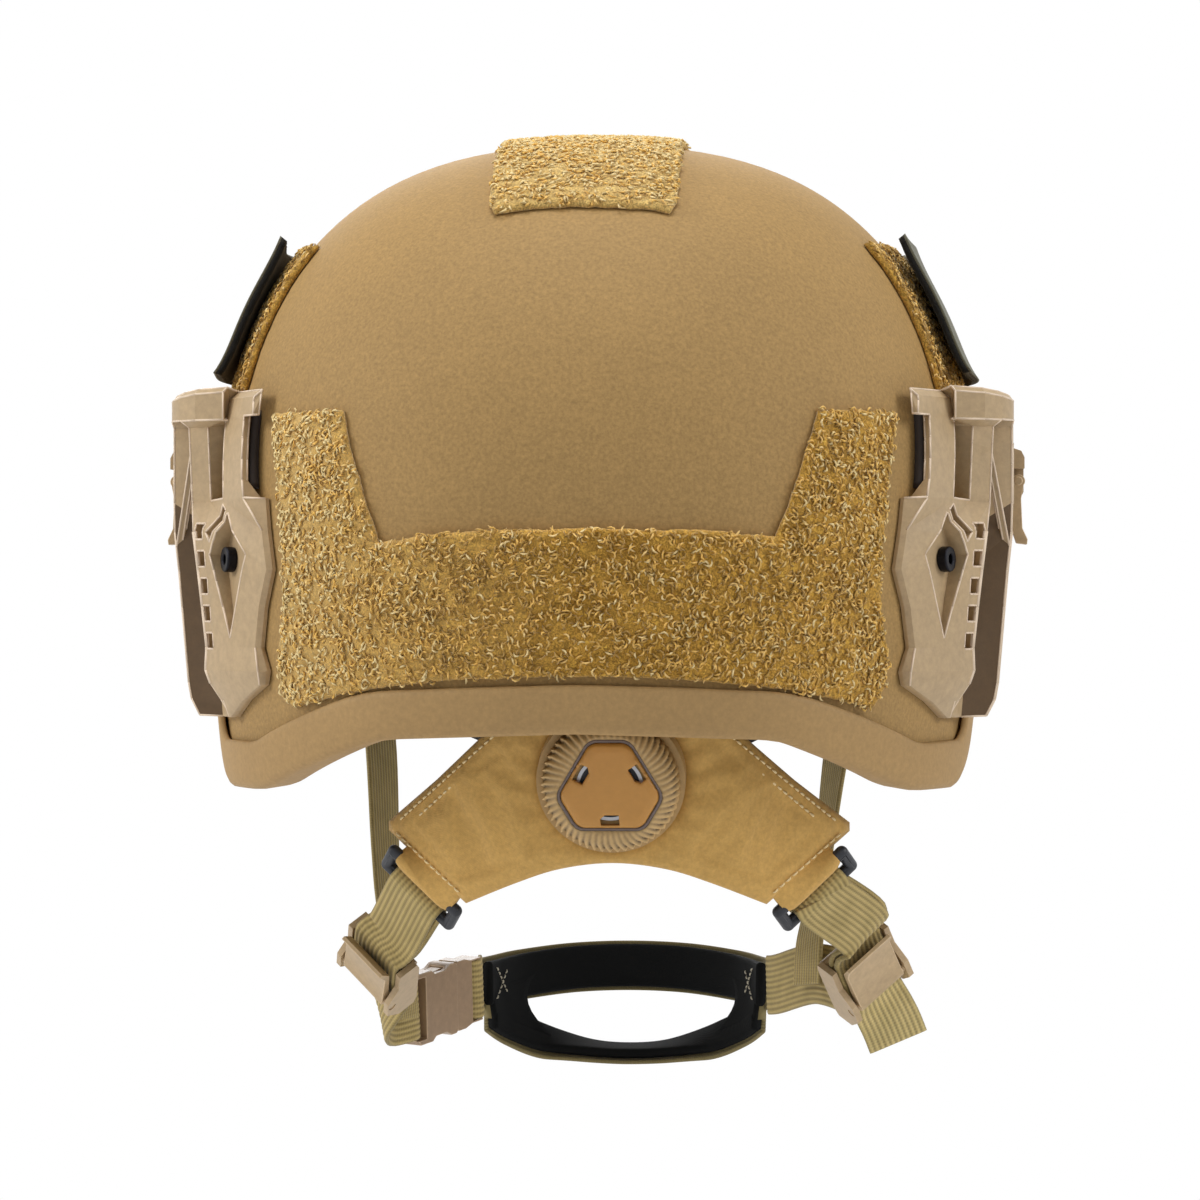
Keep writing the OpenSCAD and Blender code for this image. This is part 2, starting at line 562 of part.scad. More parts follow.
module bracket_screws() {
    color(black_oxide) at_bracket() for (p = bracket_holes) {
        seat = screw_seat(p) + 0.02;
        translate([p.x, p.y, seat - 9]) cylinder(r = bracket_hole_radius - 0.3, h = 9.5, $fn = 24);
        translate([p.x, p.y, seat]) difference() {
            cylinder(r = screw_head, h = 2.2, $fn = 32);
            translate([0, 0, 1]) cylinder(r = 1.5, h = 3, $fn = 6);
        }
    }
}

// Impact liner in five pieces under the shell
liner_out = -wall - 3 * fit_gap;
liner_in = liner_out - liner_thickness;
liner_seam = crown_height - 32.5;
liner_top = liner_seam - 6;
module liner_piece(angles, heights) {
    color(foam_dark) plate([for (z = heights) [for (a = angles) at_angle(a, z, liner_out)]],
                           [for (z = heights) [for (a = angles) at_angle(a, z, liner_in)]]);
}
module liner_crown() {
    color(foam_dark) bowl([for (a = [0:15:345]) [a, liner_seam]], liner_out, liner_in, 3);
}
module liner_front() { liner_piece([134:11.5:226], [brow_edge + trim_depth - 2.4, 44, 62, 78, 92, liner_top]); }
module liner_rear() { liner_piece([-48:12:48], [-15, 4, 24, 44, 64, 82, liner_top]); }
module liner_side() { liner_piece([74, 84, 94, 104, 115], [32, 50, 68, 85, liner_top]); }

// Comfort pads: crowned towards the head, with drawn-in sides
pad_out = liner_in - 3 * fit_gap;
module comfort_pad(spot, cell = 6) {
    s = [for (i = [0:cell]) -1 + 2 * i / cell];
    swell = function(u, v) pow(max(0, 1 - pow(abs(u), 4)) * max(0, 1 - pow(abs(v), 4)), 0.5);
    color(pad_black) plate(
        [for (v = s) [for (u = s) spot(u * (1 - 0.12 * v * v), v * (1 - 0.12 * u * u), pad_out)]],
        [for (v = s) [for (u = s) spot(u * (1 - 0.12 * v * v), v * (1 - 0.12 * u * u),
            pad_out - 1.5 - (pad_thickness - 1.5) * swell(u, v))]]);
}
function wall_spot(a, z) = function(u, v, h)
    at_angle(mix(a[0], a[1], (1 + u) / 2), mix(z[0], z[1], (1 + v) / 2), h);
module pad_crown() { comfort_pad(function(u, v, h) at_top(40 * u, -46 * v, h)); }
module pad_front() { comfort_pad(wall_spot([148, 212], [34, 84]), 8); }
module pad_rear() { comfort_pad(wall_spot([-36, 36], [-8, 60]), 8); }
module pad_side() { comfort_pad(wall_spot([78, 112], [38, 86])); }

// Nape pad: measured from the dial's centre plane, curved to the neck and leaning in below
nape_centre = [nape_shift, 109, -52];
nape_lean = 0.28;
nape_curve = 0.0078;
function nape_face(x, z, h = 0) =
    let (n = unit([2 * nape_curve * x, 1, -nape_lean]))
    [nape_centre.x + x, nape_centre.y - nape_curve * x * x + nape_lean * (z - nape_centre.z), z] + h * n;
nape_top = [[0, -25], [24, -27], [38.5, -39.6], [54, -53.5], [70.4, -66.8]];
nape_bottom = [[0, -77.5], [16, -79.4], [30, -84], [45.6, -90.5], [58, -80], [70.4, -69.4]];
nape_tilt = atan(nape_lean);
module at_dial() {
    translate([nape_centre.x, nape_centre.y, nape_centre.z]) rotate([-90 - nape_tilt, 0, 0]) children();
}
module nape_pad() {
    half = [0, 8, 16, 24, 31, 38.5, 45.6, 54, 62, 70.4];
    xs = [each [for (i = [9:-1:1]) -half[i]], each half];
    vs = [0, 0.08, 0.25, 0.5, 0.75, 0.92, 1];
    depth = function(x, v)
        let (edge_share = min(1, 4 * min(v, 1 - v) + 0.25) * min(1, (71.5 - abs(x)) / 9 + 0.2))
        nape_thickness * (0.4 + 0.6 * edge_share);
    z_at = function(x, v) mix(lookup(abs(x), nape_bottom), lookup(abs(x), nape_top), v);
    color(nape_tan) difference() {
        plate([for (v = vs) [for (x = xs) nape_face(x, z_at(x, v), 0)]],
              [for (v = vs) [for (x = xs) nape_face(x, z_at(x, v), -depth(x, v))]]);
        at_dial() translate([0, 0, -30]) cylinder(r = dial_base_radius + fit_gap, h = 50, $fn = 48);
    }
}
plate_face = -nape_thickness - fit_gap;
module nape_plate() {
    xs = [30:-6:-30];
    zs = [-76, -66, -58, -52, -46, -38, -30];
    wide = function(z) 1 - 0.18 * pow((z + 52) / 24, 2);
    color(black_plastic) union() {
        plate([for (z = zs) [for (x = xs) nape_face(-x * wide(z), z, plate_face)]],
              [for (z = zs) [for (x = xs) nape_face(-x * wide(z), z, plate_face - 2)]]);
        at_dial() translate([0, 0, plate_face - 1]) cylinder(r = 10, h = 2, $fn = 48);
    }
}

// Dial: base, lace spool, axle, knob and cap, along the axis that leans back
dial_base_radius = dial_diameter / 2 + 1.2;
base_back = plate_face + 1 + 0.02;
base_front = 3;
spool_room = 6.2;
axle_radius = 2.4;
knob_back = base_front + 0.4;
knob_height = 7;
knob_floor = knob_back + knob_height - 2.6;
knob_bevel = 3;
module dial_base() {
    color(nape_tan_dark) at_dial() difference() {
        translate([0, 0, base_back]) cylinder(r = dial_base_radius, h = base_front - base_back, $fn = 64);
        translate([0, 0, base_front - spool_room]) cylinder(r = 13.5, h = 20, $fn = 64);
        translate([0, 0, base_back - 1]) cylinder(r = axle_radius + 0.05, h = 20, $fn = 32);
        for (s = [-1, 1]) translate([s * 9, 0, base_front - 3.4]) rotate([0, s * 90, 0])
            cylinder(r = 1, h = 20, $fn = 16);
    }
}
module dial_spool() {
    color(black_plastic) at_dial() translate([0, 0, base_front - spool_room + 0.3])
        rotate_extrude($fn = 64) polygon([[axle_radius + 0.08, 0], [13, 0], [13, 0.9], [9, 1.4], [9, 3.4],
                                          [13, 3.9], [13, 5], [axle_radius + 0.08, 5]]);
}
// The axle slides out with the knob and does not turn
module dial_axle() {
    color(steel) at_dial() {
        translate([0, 0, base_back + 0.3])
            cylinder(r = axle_radius, h = knob_floor + 0.4 - base_back - 0.3, $fn = 32);
        translate([0, 0, knob_floor + 0.1]) cylinder(r = 4, h = 0.9, $fn = 32);
    }
}
function knurl(r, n, deep) = [for (i = [0:n - 1]) each [
    (r - deep) * [cos(360 * i / n), sin(360 * i / n)],
    r * [cos(360 * (i + 0.35) / n), sin(360 * (i + 0.35) / n)],
    r * [cos(360 * (i + 0.65) / n), sin(360 * (i + 0.65) / n)]]];
module dial_knob() {
    r = dial_diameter / 2;
    color(dial_tan) at_dial() difference() {
        union() {
            translate([0, 0, knob_back]) linear_extrude(knob_height - knob_bevel)
                polygon(knurl(r, 36, 0.9));
            translate([0, 0, knob_back + knob_height - knob_bevel]) rotate_extrude($fn = 72)
                polygon([[axle_radius + 1, 0], [r - 1.4, 0], [r - 3.6, 2.4], [r - 4.4, knob_bevel],
                         [axle_radius + 1, knob_bevel]]);
        }
        translate([0, 0, knob_back - 1]) cylinder(r = axle_radius + 0.05, h = 20, $fn = 32);
        translate([0, 0, knob_floor]) cylinder(r = 4.3, h = 20, $fn = 32);
        translate([0, 0, knob_back + knob_height - 1.4]) linear_extrude(5) cap_outline(14.8, 4.4);
    }
}
// Three long sides and three short ones, with round corners
module cap_outline(far, corner) {
    hull() for (a = [30, 150, 270], turn = [-18, 18])
        rotate([0, 0, a + turn]) translate([far - corner, 0]) circle(r = corner, $fn = 24);
}
module dial_cap() {
    color(cap_orange) at_dial() difference() {
        translate([0, 0, knob_back + knob_height - 1.35]) linear_extrude(2.2) cap_outline(14.4, 4);
        for (a = [90, 210, 330]) rotate([0, 0, a]) translate([7.6, -2.8, knob_back + knob_height - 2])
            cube([3.2, 5.6, 6]);
    }
}

// Straps: flat bands through stations of [centre, direction across, width share]
function spline(k, i, t) =
    let (n = len(k), a = k[max(0, i - 1)], b = k[i], c = k[min(n - 1, i + 1)], d = k[min(n - 1, i + 2)])
    0.5 * (2 * b + (c - a) * t + (2 * a - 5 * b + 4 * c - d) * t * t + (3 * b - a - 3 * c + d) * t * t * t);
function smooth_line(k, n) = [for (i = [0:len(k) - 2], s = [0:n - 1]) spline(k, i, s / n), k[len(k) - 1]];
function band_rings(stations, width, thick, n, offset = 0) =
    let (path = smooth_line([for (s = stations) s[0]], n),
         sides = smooth_line([for (s = stations) s[1]], n),
         wide = smooth_line([for (s = stations) len(s) > 2 ? s[2] : 1], n),
         last = len(path) - 1)
    [for (i = [0:last])
        let (along = unit(path[min(last, i + 1)] - path[max(0, i - 1)]),
             a = unit(sides[i] - (sides[i] * along) * along), up = cross(a, along),
             c = path[i] + offset * up, w = a * width * wide[i] / 2, t = up * thick / 2)
        [c + w + t, c - w + t, c - w - t, c + w - t]];
module band(stations, width = webbing_width, thick = webbing_thickness, n = 3, offset = 0) {
    tube(band_rings(stations, width, thick, n, offset));
}
module place(origin, along, side) {
    u = unit(along);
    v = unit(side - (side * u) * u);
    w = cross(u, v);
    multmatrix([[u.x, v.x, w.x, origin.x], [u.y, v.y, w.y, origin.y], [u.z, v.z, w.z, origin.z],
                [0, 0, 0, 1]]) children();
}

// Places inside the shell at a bolt: down along the wall, forward along it, and outward
function bolt_point(b, down, along, out) =
    let (p = at_side(b.x, b.y), n = outward(p),
         d = unit([n.x * n.z, n.y * n.z, -n.x * n.x - n.y * n.y]))
    p + down * d + along * cross(n, d) + out * n;
function bolt_along(b) =
    let (n = outward(at_side(b.x, b.y))) cross(n, unit([n.x * n.z, n.y * n.z, -n.x * n.x - n.y * n.y]));
function mirrored(p) = [-p.x, p.y, p.z];
eyelet_out = -wall - 2.2;
eyelet_thick = 1.6;
module eyelet(b) {
    at_bolt(b) translate([0, 0, eyelet_out - eyelet_thick]) children();
}

// Black arms carry the nape plate from the rear bolts
module harness_arm(side) {
    b = bolt_places[0];
    m = function(p) side > 0 ? p : mirrored(p);
    s = function(p) side > 0 ? p : [2 * nape_shift - p.x, p.y, p.z];
    color(black_plastic) union() {
        band([[m(bolt_point(b, 7, 0, eyelet_out - eyelet_thick / 2)), m(bolt_along(b))],
              [m([shell_width / 2 - 31, 74, -8]), m([-0.5, 0.85, 0.1])],
              [m([shell_width / 2 - 43, 78, -24]), m([-0.45, 0.6, 0.6])],
              [s(nape_face(50, -37, -12)), s([nape_shift - 0.3, 0.3, 0.9]) - s([nape_shift, 0, 0])],
              [s(nape_face(36, -43, -12.4)), s([nape_shift - 0.1, 0.2, 1]) - s([nape_shift, 0, 0])],
              [s(nape_face(20, -46, -12.6)), s([nape_shift, 0.2, 1]) - s([nape_shift, 0, 0])]],
             width = 12, thick = eyelet_thick, n = 3);
        if (side > 0) arm_eyelet(b); else mirror([1, 0, 0]) arm_eyelet(b);
    }
}
module arm_eyelet(b) {
    eyelet(b) difference() {
        cylinder(r = 8, h = eyelet_thick, $fn = 48);
        translate([0, 0, -1]) cylinder(r = 3.9, h = 5, $fn = 32);
    }
}
// Plates at the front bolts that the front straps are sewn to
module strap_anchors() {
    color(black_oxide) both_sides() eyelet(bolt_places[1]) difference() {
        union() {
            cylinder(r = 8, h = eyelet_thick, $fn = 48);
            translate([4, -11.5, 0]) cube([12.5, 23, eyelet_thick]);
        }
        translate([0, 0, -1]) cylinder(r = 3.9, h = 5, $fn = 32);
        translate([10.4, -webbing_width / 2 - 0.3, -1]) cube([3.4, webbing_width + 0.6, 5]);
    }
}

// Stations of the harness on each side
ring_place = [58.8, 70, -86];
ring_slant = unit([-0.72, 0.14, -0.68]);
strap_fall = unit([0.32, -0.8, -0.49]);
ring_bar = 1.9;
ring_half = 4.2;
ring_long = webbing_width / 2 + 3.5;
ring_left = ring_place + [nape_shift, 0, 0];
ring_right = mirrored(ring_place) + [nape_shift, 0, 0];
lock_left = [66, 36, -112];
lock_right = [-83, 30, -114];
lock_along_left = unit([0.12, -0.86, -0.5]);
lock_along_right = unit([-0.25, -0.72, -0.64]);
lock_across_left = unit([-0.66, 0.2, -0.7]);
lock_across_right = unit([-0.66, -0.2, 0.7]);

module nape_ring(origin, slant, fall) {
    color(black_plastic) place(origin, slant, fall) {
        for (v = [-1, 1]) translate([-ring_long, v * ring_half, 0]) rotate([0, 90, 0])
            cylinder(r = ring_bar, h = 2 * ring_long, $fn = 24);
        for (u = [-1, 1]) translate([u * ring_long, -ring_half, 0]) rotate([-90, 0, 0])
            cylinder(r = ring_bar, h = 2 * ring_half, $fn = 24);
        for (u = [-1, 1], v = [-1, 1]) translate([u * ring_long, v * ring_half, 0])
            sphere(r = ring_bar, $fn = 24);
    }
}

// Webbing that goes round the ring's lower bar and comes back to the lock
layer = webbing_thickness / 2 + fit_gap;
module rear_strap(ring, slant, fall, lock, along, across, bulge) {
    bar = ring + ring_half * fall;
    t = cross(slant, fall);
    e = cross(across, along);
    turn = ring_bar + fit_gap + webbing_thickness / 2;
    color(webbing_olive) band([
        [lock + 7 * along - layer * e, across], [lock - 13.8 * along - layer * e, across],
        [mix(lock, bar, 0.5) - 1.6 * t + bulge * 0.8, mix(across, slant, 0.5)],
        [bar + 2 * fall - turn * t, slant], [bar - turn * 0.75 * fall - turn * 0.75 * t, slant],
        [bar - turn * 1.1 * fall, slant], [bar - turn * 0.75 * fall + turn * 0.75 * t, slant],
        [bar + 2 * fall + turn * t, slant],
        [mix(lock, bar, 0.5) + 1.8 * t + bulge, mix(across, slant, 0.5)],
        [lock - 13.8 * along + layer * e, across], [lock + 7 * along + layer * e, across]], n = 2);
}

// Frame with two bars under the webbing, and a cam lever on a pin above it
lock_plate = webbing_width / 2 + 0.5;
lock_pin = 1.3;
lock_pin_place = [4, 2 * layer + 2.2];
module adjuster_frame(origin, along, across) {
    color(tan_plastic) place(origin, along, across) {
        difference() {
            for (s = [0, 1]) mirror([0, s, 0]) translate([0, lock_plate + 1.9, 0]) rotate([90, 0, 0])
                linear_extrude(1.9)
                    polygon([[-13, -4.6], [-10, -5.6], [10, -5.6], [13, -4.6], [13, 1.5], [8, 6.4],
                             [1, 6.4], [-5, 2.4], [-13, 2.4]]);
            translate([lock_pin_place.x, 30, lock_pin_place.y]) rotate([90, 0, 0])
                cylinder(r = lock_pin + 0.05, h = 60, $fn = 24);
        }
        for (u = [-11, 11]) translate([u, -lock_plate - 0.5, -2 * layer - 1.9]) rotate([-90, 0, 0])
            cylinder(r = 1.6, h = 2 * lock_plate + 1, $fn = 24);
    }
}
module adjuster_cam(origin, along, across) {
    color(tan_plastic) place(origin, along, across) {
        translate([lock_pin_place.x, -lock_plate - 1.7, lock_pin_place.y]) rotate([-90, 0, 0])
            cylinder(r = lock_pin, h = 2 * lock_plate + 3.4, $fn = 24);
        translate([lock_pin_place.x, webbing_width / 2 - 0.6, lock_pin_place.y]) rotate([90, 0, 0]) {
            cylinder(r = 1.9, h = webbing_width - 1.2, $fn = 32);
            linear_extrude(webbing_width - 1.2)
                polygon([[0, -1.7], [-1, 1.6], [-15, 1.2], [-19.5, 3.4], [-20, 2.2], [-16, -0.7],
                         [-4, -1.1]]);
        }
    }
}

// Cheek straps run from the locks, under their bars, to the buckle and the chin cup
cheek_drop = 2 * layer + 3.5 + fit_gap + webbing_thickness / 2;
function lock_spot(lock, along, across, u, w) = lock + u * along + w * cross(along, across);
cup_middle = -5;
strap_down = [-0.05, -0.1, -1];
module cheek_strap_left() {
    u = buckle_along;
    w = buckle_out;
    color(webbing_olive) band([
        [lock_spot(lock_left, lock_along_left, lock_across_left, 4, -cheek_drop), lock_across_left],
        [lock_spot(lock_left, lock_along_left, lock_across_left, 14, -cheek_drop), lock_across_left],
        [[68, 8, -126.5], [-0.3, 0.15, -0.95]], [buckle_start - 9 * u + 0.6 * w, [-0.1, -0.1, -1]],
        [buckle_start + 0.5 * u + 2.6 * w, strap_down], [buckle_start + 3.6 * u + 1.2 * w, strap_down],
        [buckle_start + 4 * u - 1.6 * w, strap_down]], n = 2);
}
module cheek_strap_right() {
    spot = function(x, w) lock_spot(lock_right, lock_along_right, lock_across_right, x, w);
    color(webbing_olive) band([
        [spot(4, -cheek_drop), lock_across_right], [spot(15, -cheek_drop - 0.8), lock_across_right],
        [[-78, 3, -119], [-0.2, -0.15, 0.95]], [[-67, -20, -118], [-0.05, 0, 1]],
        [[-55, -44, -123], [0, 0, 1]], [cup_right + [-1.2, 1, 0], [0, 0, 1]]], n = 2);
}
module front_strap(stations) { color(webbing_olive) band(stations, n = 2); }
strap_under = eyelet_out - eyelet_thick - fit_gap - webbing_thickness / 2;
front_top = [bolt_point(bolt_places[1], 9.5, 0, strap_under - 0.1), bolt_along(bolt_places[1])];
front_next = [bolt_point(bolt_places[1], 20, 0, strap_under - 1.9), bolt_along(bolt_places[1])];
module front_strap_left() {
    front_strap([front_top, front_next, [[78.6, -60.5, -18], [0.44, 0.88, 0.15]],
        [[73.5, -50, -46.7], [0.42, 0.88, 0.2]], [[69.3, -28, -92], [0.34, 0.88, 0.35]],
        [[62.3, -1, -116], [0.26, 0.9, 0.2]], [[60.2, 2, -131], [0.26, 0.93, 0.1]]]);
}
module front_strap_right() {
    front_strap([for (s = [front_top, front_next, [[78.6, -60.5, -18], [0.44, 0.88, 0.15]],
        [[73.8, -50, -46.7], [0.42, 0.88, 0.2]], [[69.3, -34, -82], [0.3, 0.88, 0.35]],
        [[65.4, -18, -106], [0.42, 0.88, 0.2]], [[64.6, -15, -121], [0.43, 0.88, 0.1]]])
        [mirrored(s[0]), -mirrored(s[1])]]);
}
module strap_tail() {
    color(webbing_olive) band([
        [lock_spot(lock_right, lock_along_right, lock_across_right, 7.6, layer), lock_across_right],
        [lock_spot(lock_right, lock_along_right, lock_across_right, 13.5, layer), lock_across_right],
        [[-90.6, 19.4, -130], [-0.74, -0.1, 0.64]], [[-93, 18.5, -136], [-0.74, -0.1, 0.64]]], n = 2);
}

// Side-release buckle, measured along its length from the socket's strap bar
buckle_start = [62, -13, -129.5];
buckle_end = [42.5, -49.5, -124.5];
buckle_along = unit(buckle_end - buckle_start);
buckle_up = [0, 0.1, 1];
buckle_out = cross(buckle_along, unit(buckle_up - (buckle_up * buckle_along) * buckle_along));
buckle_half = webbing_width / 2 + 2;
socket_length = 24;
cavity_half = buckle_half - 2.6;
cavity_thick = 2.5;
prong_pin = [socket_length + 2.4, cavity_half - 2.2];
prong_root = 1.6;
module at_buckle() {
    place(buckle_start, buckle_along, buckle_up) children();
}
module buckle_socket() {
    h = buckle_half;
    color(buckle_brown) at_buckle() difference() {
        translate([0, 0, -4.2]) linear_extrude(8.4)
            polygon([[0, -h + 2.5], [2, -h], [9, -h], [11, -h + 1.4], [17, -h + 1.4], [20, -h],
                     [socket_length - 1, -h], [socket_length, -h + 1], [socket_length, h - 1],
                     [socket_length - 1, h], [20, h], [17, h - 1.4], [11, h - 1.4], [9, h], [2, h],
                     [0, h - 2.5]]);
        translate([7.5, -cavity_half, -cavity_thick]) cube([40, 2 * cavity_half, 2 * cavity_thick]);
        translate([10.4, -h - 5, -cavity_thick]) cube([8.2, 2 * h + 10, 2 * cavity_thick]);
        translate([2.4, -webbing_width / 2 - 0.4, -9]) cube([3.2, webbing_width + 0.8, 18]);
        translate([-1, -webbing_width / 2 - 0.4, 1]) cube([4, webbing_width + 0.8, 9]);
    }
}
module buckle_plug() {
    h = buckle_half;
    s = socket_length + 0.3;
    color(buckle_brown) at_buckle() difference() {
        union() {
            translate([s, 0, -3.6]) linear_extrude(7.2)
                for (side = [0, 1]) mirror([0, side])
                    polygon([[0, 0], [0, -h + 1], [1, -h + 0.2], [5, -h + 0.2], [9, -h + 1.2],
                             [15, -h + 1.2], [16, -h + 2.2], [16, 0]]);
            translate([9, -2.1, -2.1]) cube([s - 8, 4.2, 4.2]);
        }
        for (v = [-1, 1]) {
            translate([prong_pin.x, v * prong_pin.y, -cavity_thick])
                cylinder(r = prong_root + 0.05, h = 2 * cavity_thick, $fn = 32);
            translate([s - 1, v * prong_pin.y - 1.5, -cavity_thick])
                cube([prong_pin.x - s + 1, 3, 2 * cavity_thick]);
        }
        translate([s + 9.4, -webbing_width / 2 - 0.3, -9]) cube([3.4, webbing_width + 0.6, 18]);
        translate([s + 12, -webbing_width / 2 - 0.3, 1]) cube([8, webbing_width + 0.6, 9]);
    }
}
module buckle_prong(side) {
    v = prong_pin.y;
    h = buckle_half;
    color(buckle_brown) at_buckle() mirror([0, side > 0 ? 0 : 1, 0]) union() {
        translate([prong_pin.x, v, -2.1]) cylinder(r = prong_root, h = 4.2, $fn = 32);
        translate([0, 0, -2.1]) linear_extrude(4.2)
            polygon([[prong_pin.x, v - 1.1], [12, v - 1.9], [9.2, v - 0.6], [11.2, h - 1.6], [17.9, h - 1],
                     [18.2, cavity_half - 0.5], [20, v + 1], [prong_pin.x, v + 1.1]]);
    }
}

// Chin cup: an upper band in front of the chin and a lower band under it, each a lining and a cover
cup_left = [40.5, -53, -124];
cup_right = [-50.5, -53, -124];
upper_half = [[[45, -54, -124], 1], [[42, -66, -124], 1], [[34, -81, -123], 1], [[18, -93, -121.5], 1]];
lower_half = [[[43.5, -57, -135.6], 0.5], [[38, -66, -139], 0.75], [[27, -75.5, -144], 1],
    [[13, -78.5, -147.5], 1]];
function cup_line(half, last, sides) =
    let (n = len(half),
         place_of = function(k, s) [cup_middle + s * half[k][0].x, half[k][0].y, half[k][0].z])
    [for (k = [0:n - 1]) [place_of(k, 1), sides[k], half[k][1]],
     [last, sides[n], 1],
     for (k = [n - 1:-1:0]) [place_of(k, -1), sides[k], half[k][1]]];
upper_line = cup_line(upper_half, [cup_middle, -97, -121], [for (k = [0:4]) [0, -0.1, 1]]);
lower_line = cup_line(lower_half, [cup_middle, -79.5, -148.5],
    [[0, -0.4, 0.9], [0, -0.7, 0.7], [0, -0.9, 0.4], [0, -1, 0.15], [0, -1, 0.1]]);
cover_thick = 1.7;
lining_thick = cup_thickness - cover_thick - fit_gap;
module chin_cup_lining() {
    color(pad_black) for (line = [upper_line, lower_line])
        band(line, cup_band, lining_thick, 2, -(cover_thick + fit_gap) / 2);
}
module chin_cup_cover() {
    color(webbing_olive) {
        for (line = [upper_line, lower_line])
            band(line, cup_band - 1, cover_thick, 2, (lining_thick + fit_gap) / 2);
        band([[buckle_start + 35.4 * buckle_along - 1.6 * buckle_out, strap_down],
              [buckle_start + 35.5 * buckle_along + 1.4 * buckle_out, strap_down],
              [buckle_start + 39 * buckle_along + 3 * buckle_out, strap_down],
              [cup_left + [1.2, 0, 0], [0, 0, -1]]], n = 2);
    }
}

module rail_left() { rail(); }
module rail_right() { mirror([1, 0, 0]) rail(); }
module side_loop_panel_left() { side_loop_panel(); }
module side_loop_panel_right() { mirror([1, 0, 0]) side_loop_panel(); }
module side_cover_left() { side_cover(); }
module side_cover_right() { mirror([1, 0, 0]) side_cover(); }
module rail_slide_left() { rail_slide(); }
module rail_slide_right() { mirror([1, 0, 0]) rail_slide(); }
module slide_latch_left() { slide_latch(); }
module slide_latch_right() { mirror([1, 0, 0]) slide_latch(); }
module liner_left() { liner_side(); }
module liner_right() { mirror([1, 0, 0]) liner_side(); }
module pad_left() { pad_side(); }
module pad_right() { mirror([1, 0, 0]) pad_side(); }
module harness_arm_left() { harness_arm(1); }
module harness_arm_right() { harness_arm(-1); }
module nape_ring_left() { nape_ring(ring_left, ring_slant, strap_fall); }
module nape_ring_right() { nape_ring(ring_right, mirrored(ring_slant), mirrored(strap_fall)); }
module rear_strap_left() {
    rear_strap(ring_left, ring_slant, strap_fall, lock_left, lock_along_left, lock_across_left, [1, 0, -1]);
}
module rear_strap_right() {
    rear_strap(ring_right, -mirrored(ring_slant), mirrored(strap_fall), lock_right, lock_along_right,
        lock_across_right, [-7, 0, 2]);
}
module adjuster_frame_left() { adjuster_frame(lock_left, lock_along_left, lock_across_left); }
module adjuster_frame_right() { adjuster_frame(lock_right, lock_along_right, lock_across_right); }
module adjuster_cam_left() { adjuster_cam(lock_left, lock_along_left, lock_across_left); }
module adjuster_cam_right() { adjuster_cam(lock_right, lock_along_right, lock_across_right); }
module buckle_prong_upper() { buckle_prong(1); }
module buckle_prong_lower() { buckle_prong(-1); }

shell();
edge_trim();
crown_loop_panel();
rear_loop_panel();
front_loop_panel();
side_loop_panel_left();
side_loop_panel_right();
side_cover_left();
side_cover_right();
rail_left();
rail_right();
rail_bolts();
rail_nuts();
rail_slide_left();
rail_slide_right();
slide_latch_left();
slide_latch_right();
front_bracket();
bracket_insert();
bracket_screws();
liner_crown();
liner_front();
liner_rear();
liner_left();
liner_right();
pad_crown();
pad_front();
pad_rear();
pad_left();
pad_right();
nape_pad();
nape_plate();
harness_arm_left();
harness_arm_right();
strap_anchors();
dial_base();
dial_spool();
dial_axle();
dial_knob();
dial_cap();
nape_ring_left();
nape_ring_right();
rear_strap_left();
rear_strap_right();
adjuster_frame_left();
adjuster_frame_right();
adjuster_cam_left();
adjuster_cam_right();
cheek_strap_left();
cheek_strap_right();
front_strap_left();
front_strap_right();
strap_tail();
buckle_socket();
buckle_plug();
buckle_prong_upper();
buckle_prong_lower();
chin_cup_lining();
chin_cup_cover();
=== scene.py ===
import math

import bmesh
import bpy
import numpy as np
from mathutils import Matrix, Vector
from mathutils.geometry import convex_hull_2d, delaunay_2d_cdt


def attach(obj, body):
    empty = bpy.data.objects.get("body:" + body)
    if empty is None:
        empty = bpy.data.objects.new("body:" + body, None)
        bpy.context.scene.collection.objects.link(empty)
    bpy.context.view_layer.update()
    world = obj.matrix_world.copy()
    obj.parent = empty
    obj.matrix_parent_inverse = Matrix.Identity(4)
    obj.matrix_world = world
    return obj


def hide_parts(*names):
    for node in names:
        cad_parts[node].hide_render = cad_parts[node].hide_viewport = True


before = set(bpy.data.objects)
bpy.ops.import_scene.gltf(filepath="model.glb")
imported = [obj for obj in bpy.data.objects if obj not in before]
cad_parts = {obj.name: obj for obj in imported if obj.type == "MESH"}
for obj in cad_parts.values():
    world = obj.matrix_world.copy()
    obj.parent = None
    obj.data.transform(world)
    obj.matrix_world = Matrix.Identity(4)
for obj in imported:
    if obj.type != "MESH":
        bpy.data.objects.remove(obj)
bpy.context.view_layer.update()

# Sizes in millimetres, as in the part's source
MM = 0.001
SHELL_WIDTH, SHELL_REAR, SHELL_FRONT, CROWN = 234.0, 138.0, 142.0, 140.5
WALL = 8.5
PLAN_POWER, CROWN_POWER = 2.25, 2.6
GAP = 0.3
LOOP = 2.8
WEB_WIDTH, WEB_THICK = 19.0, 1.8

# Length of one degree round the shell on a flat chart
DEGREE = 2.1

SIDES = (("left", 1), ("right", -1))
rng = np.random.RandomState(7)


# Vectors
def vec(*values):
    return np.array(values, float)


def xyz(x, y, z):
    return np.stack(np.broadcast_arrays(x, y, z), -1).astype(float)


def spread(*values):
    return [v.astype(float) for v in np.broadcast_arrays(*values)]


def unit(v):
    v = np.asarray(v, float)
    return v / np.maximum(np.linalg.norm(v, axis=-1, keepdims=True), 1e-9)


def mix(a, b, t):
    return a + (b - a) * t


def mirrored(p):
    return np.asarray(p, float) * vec(-1, 1, 1)


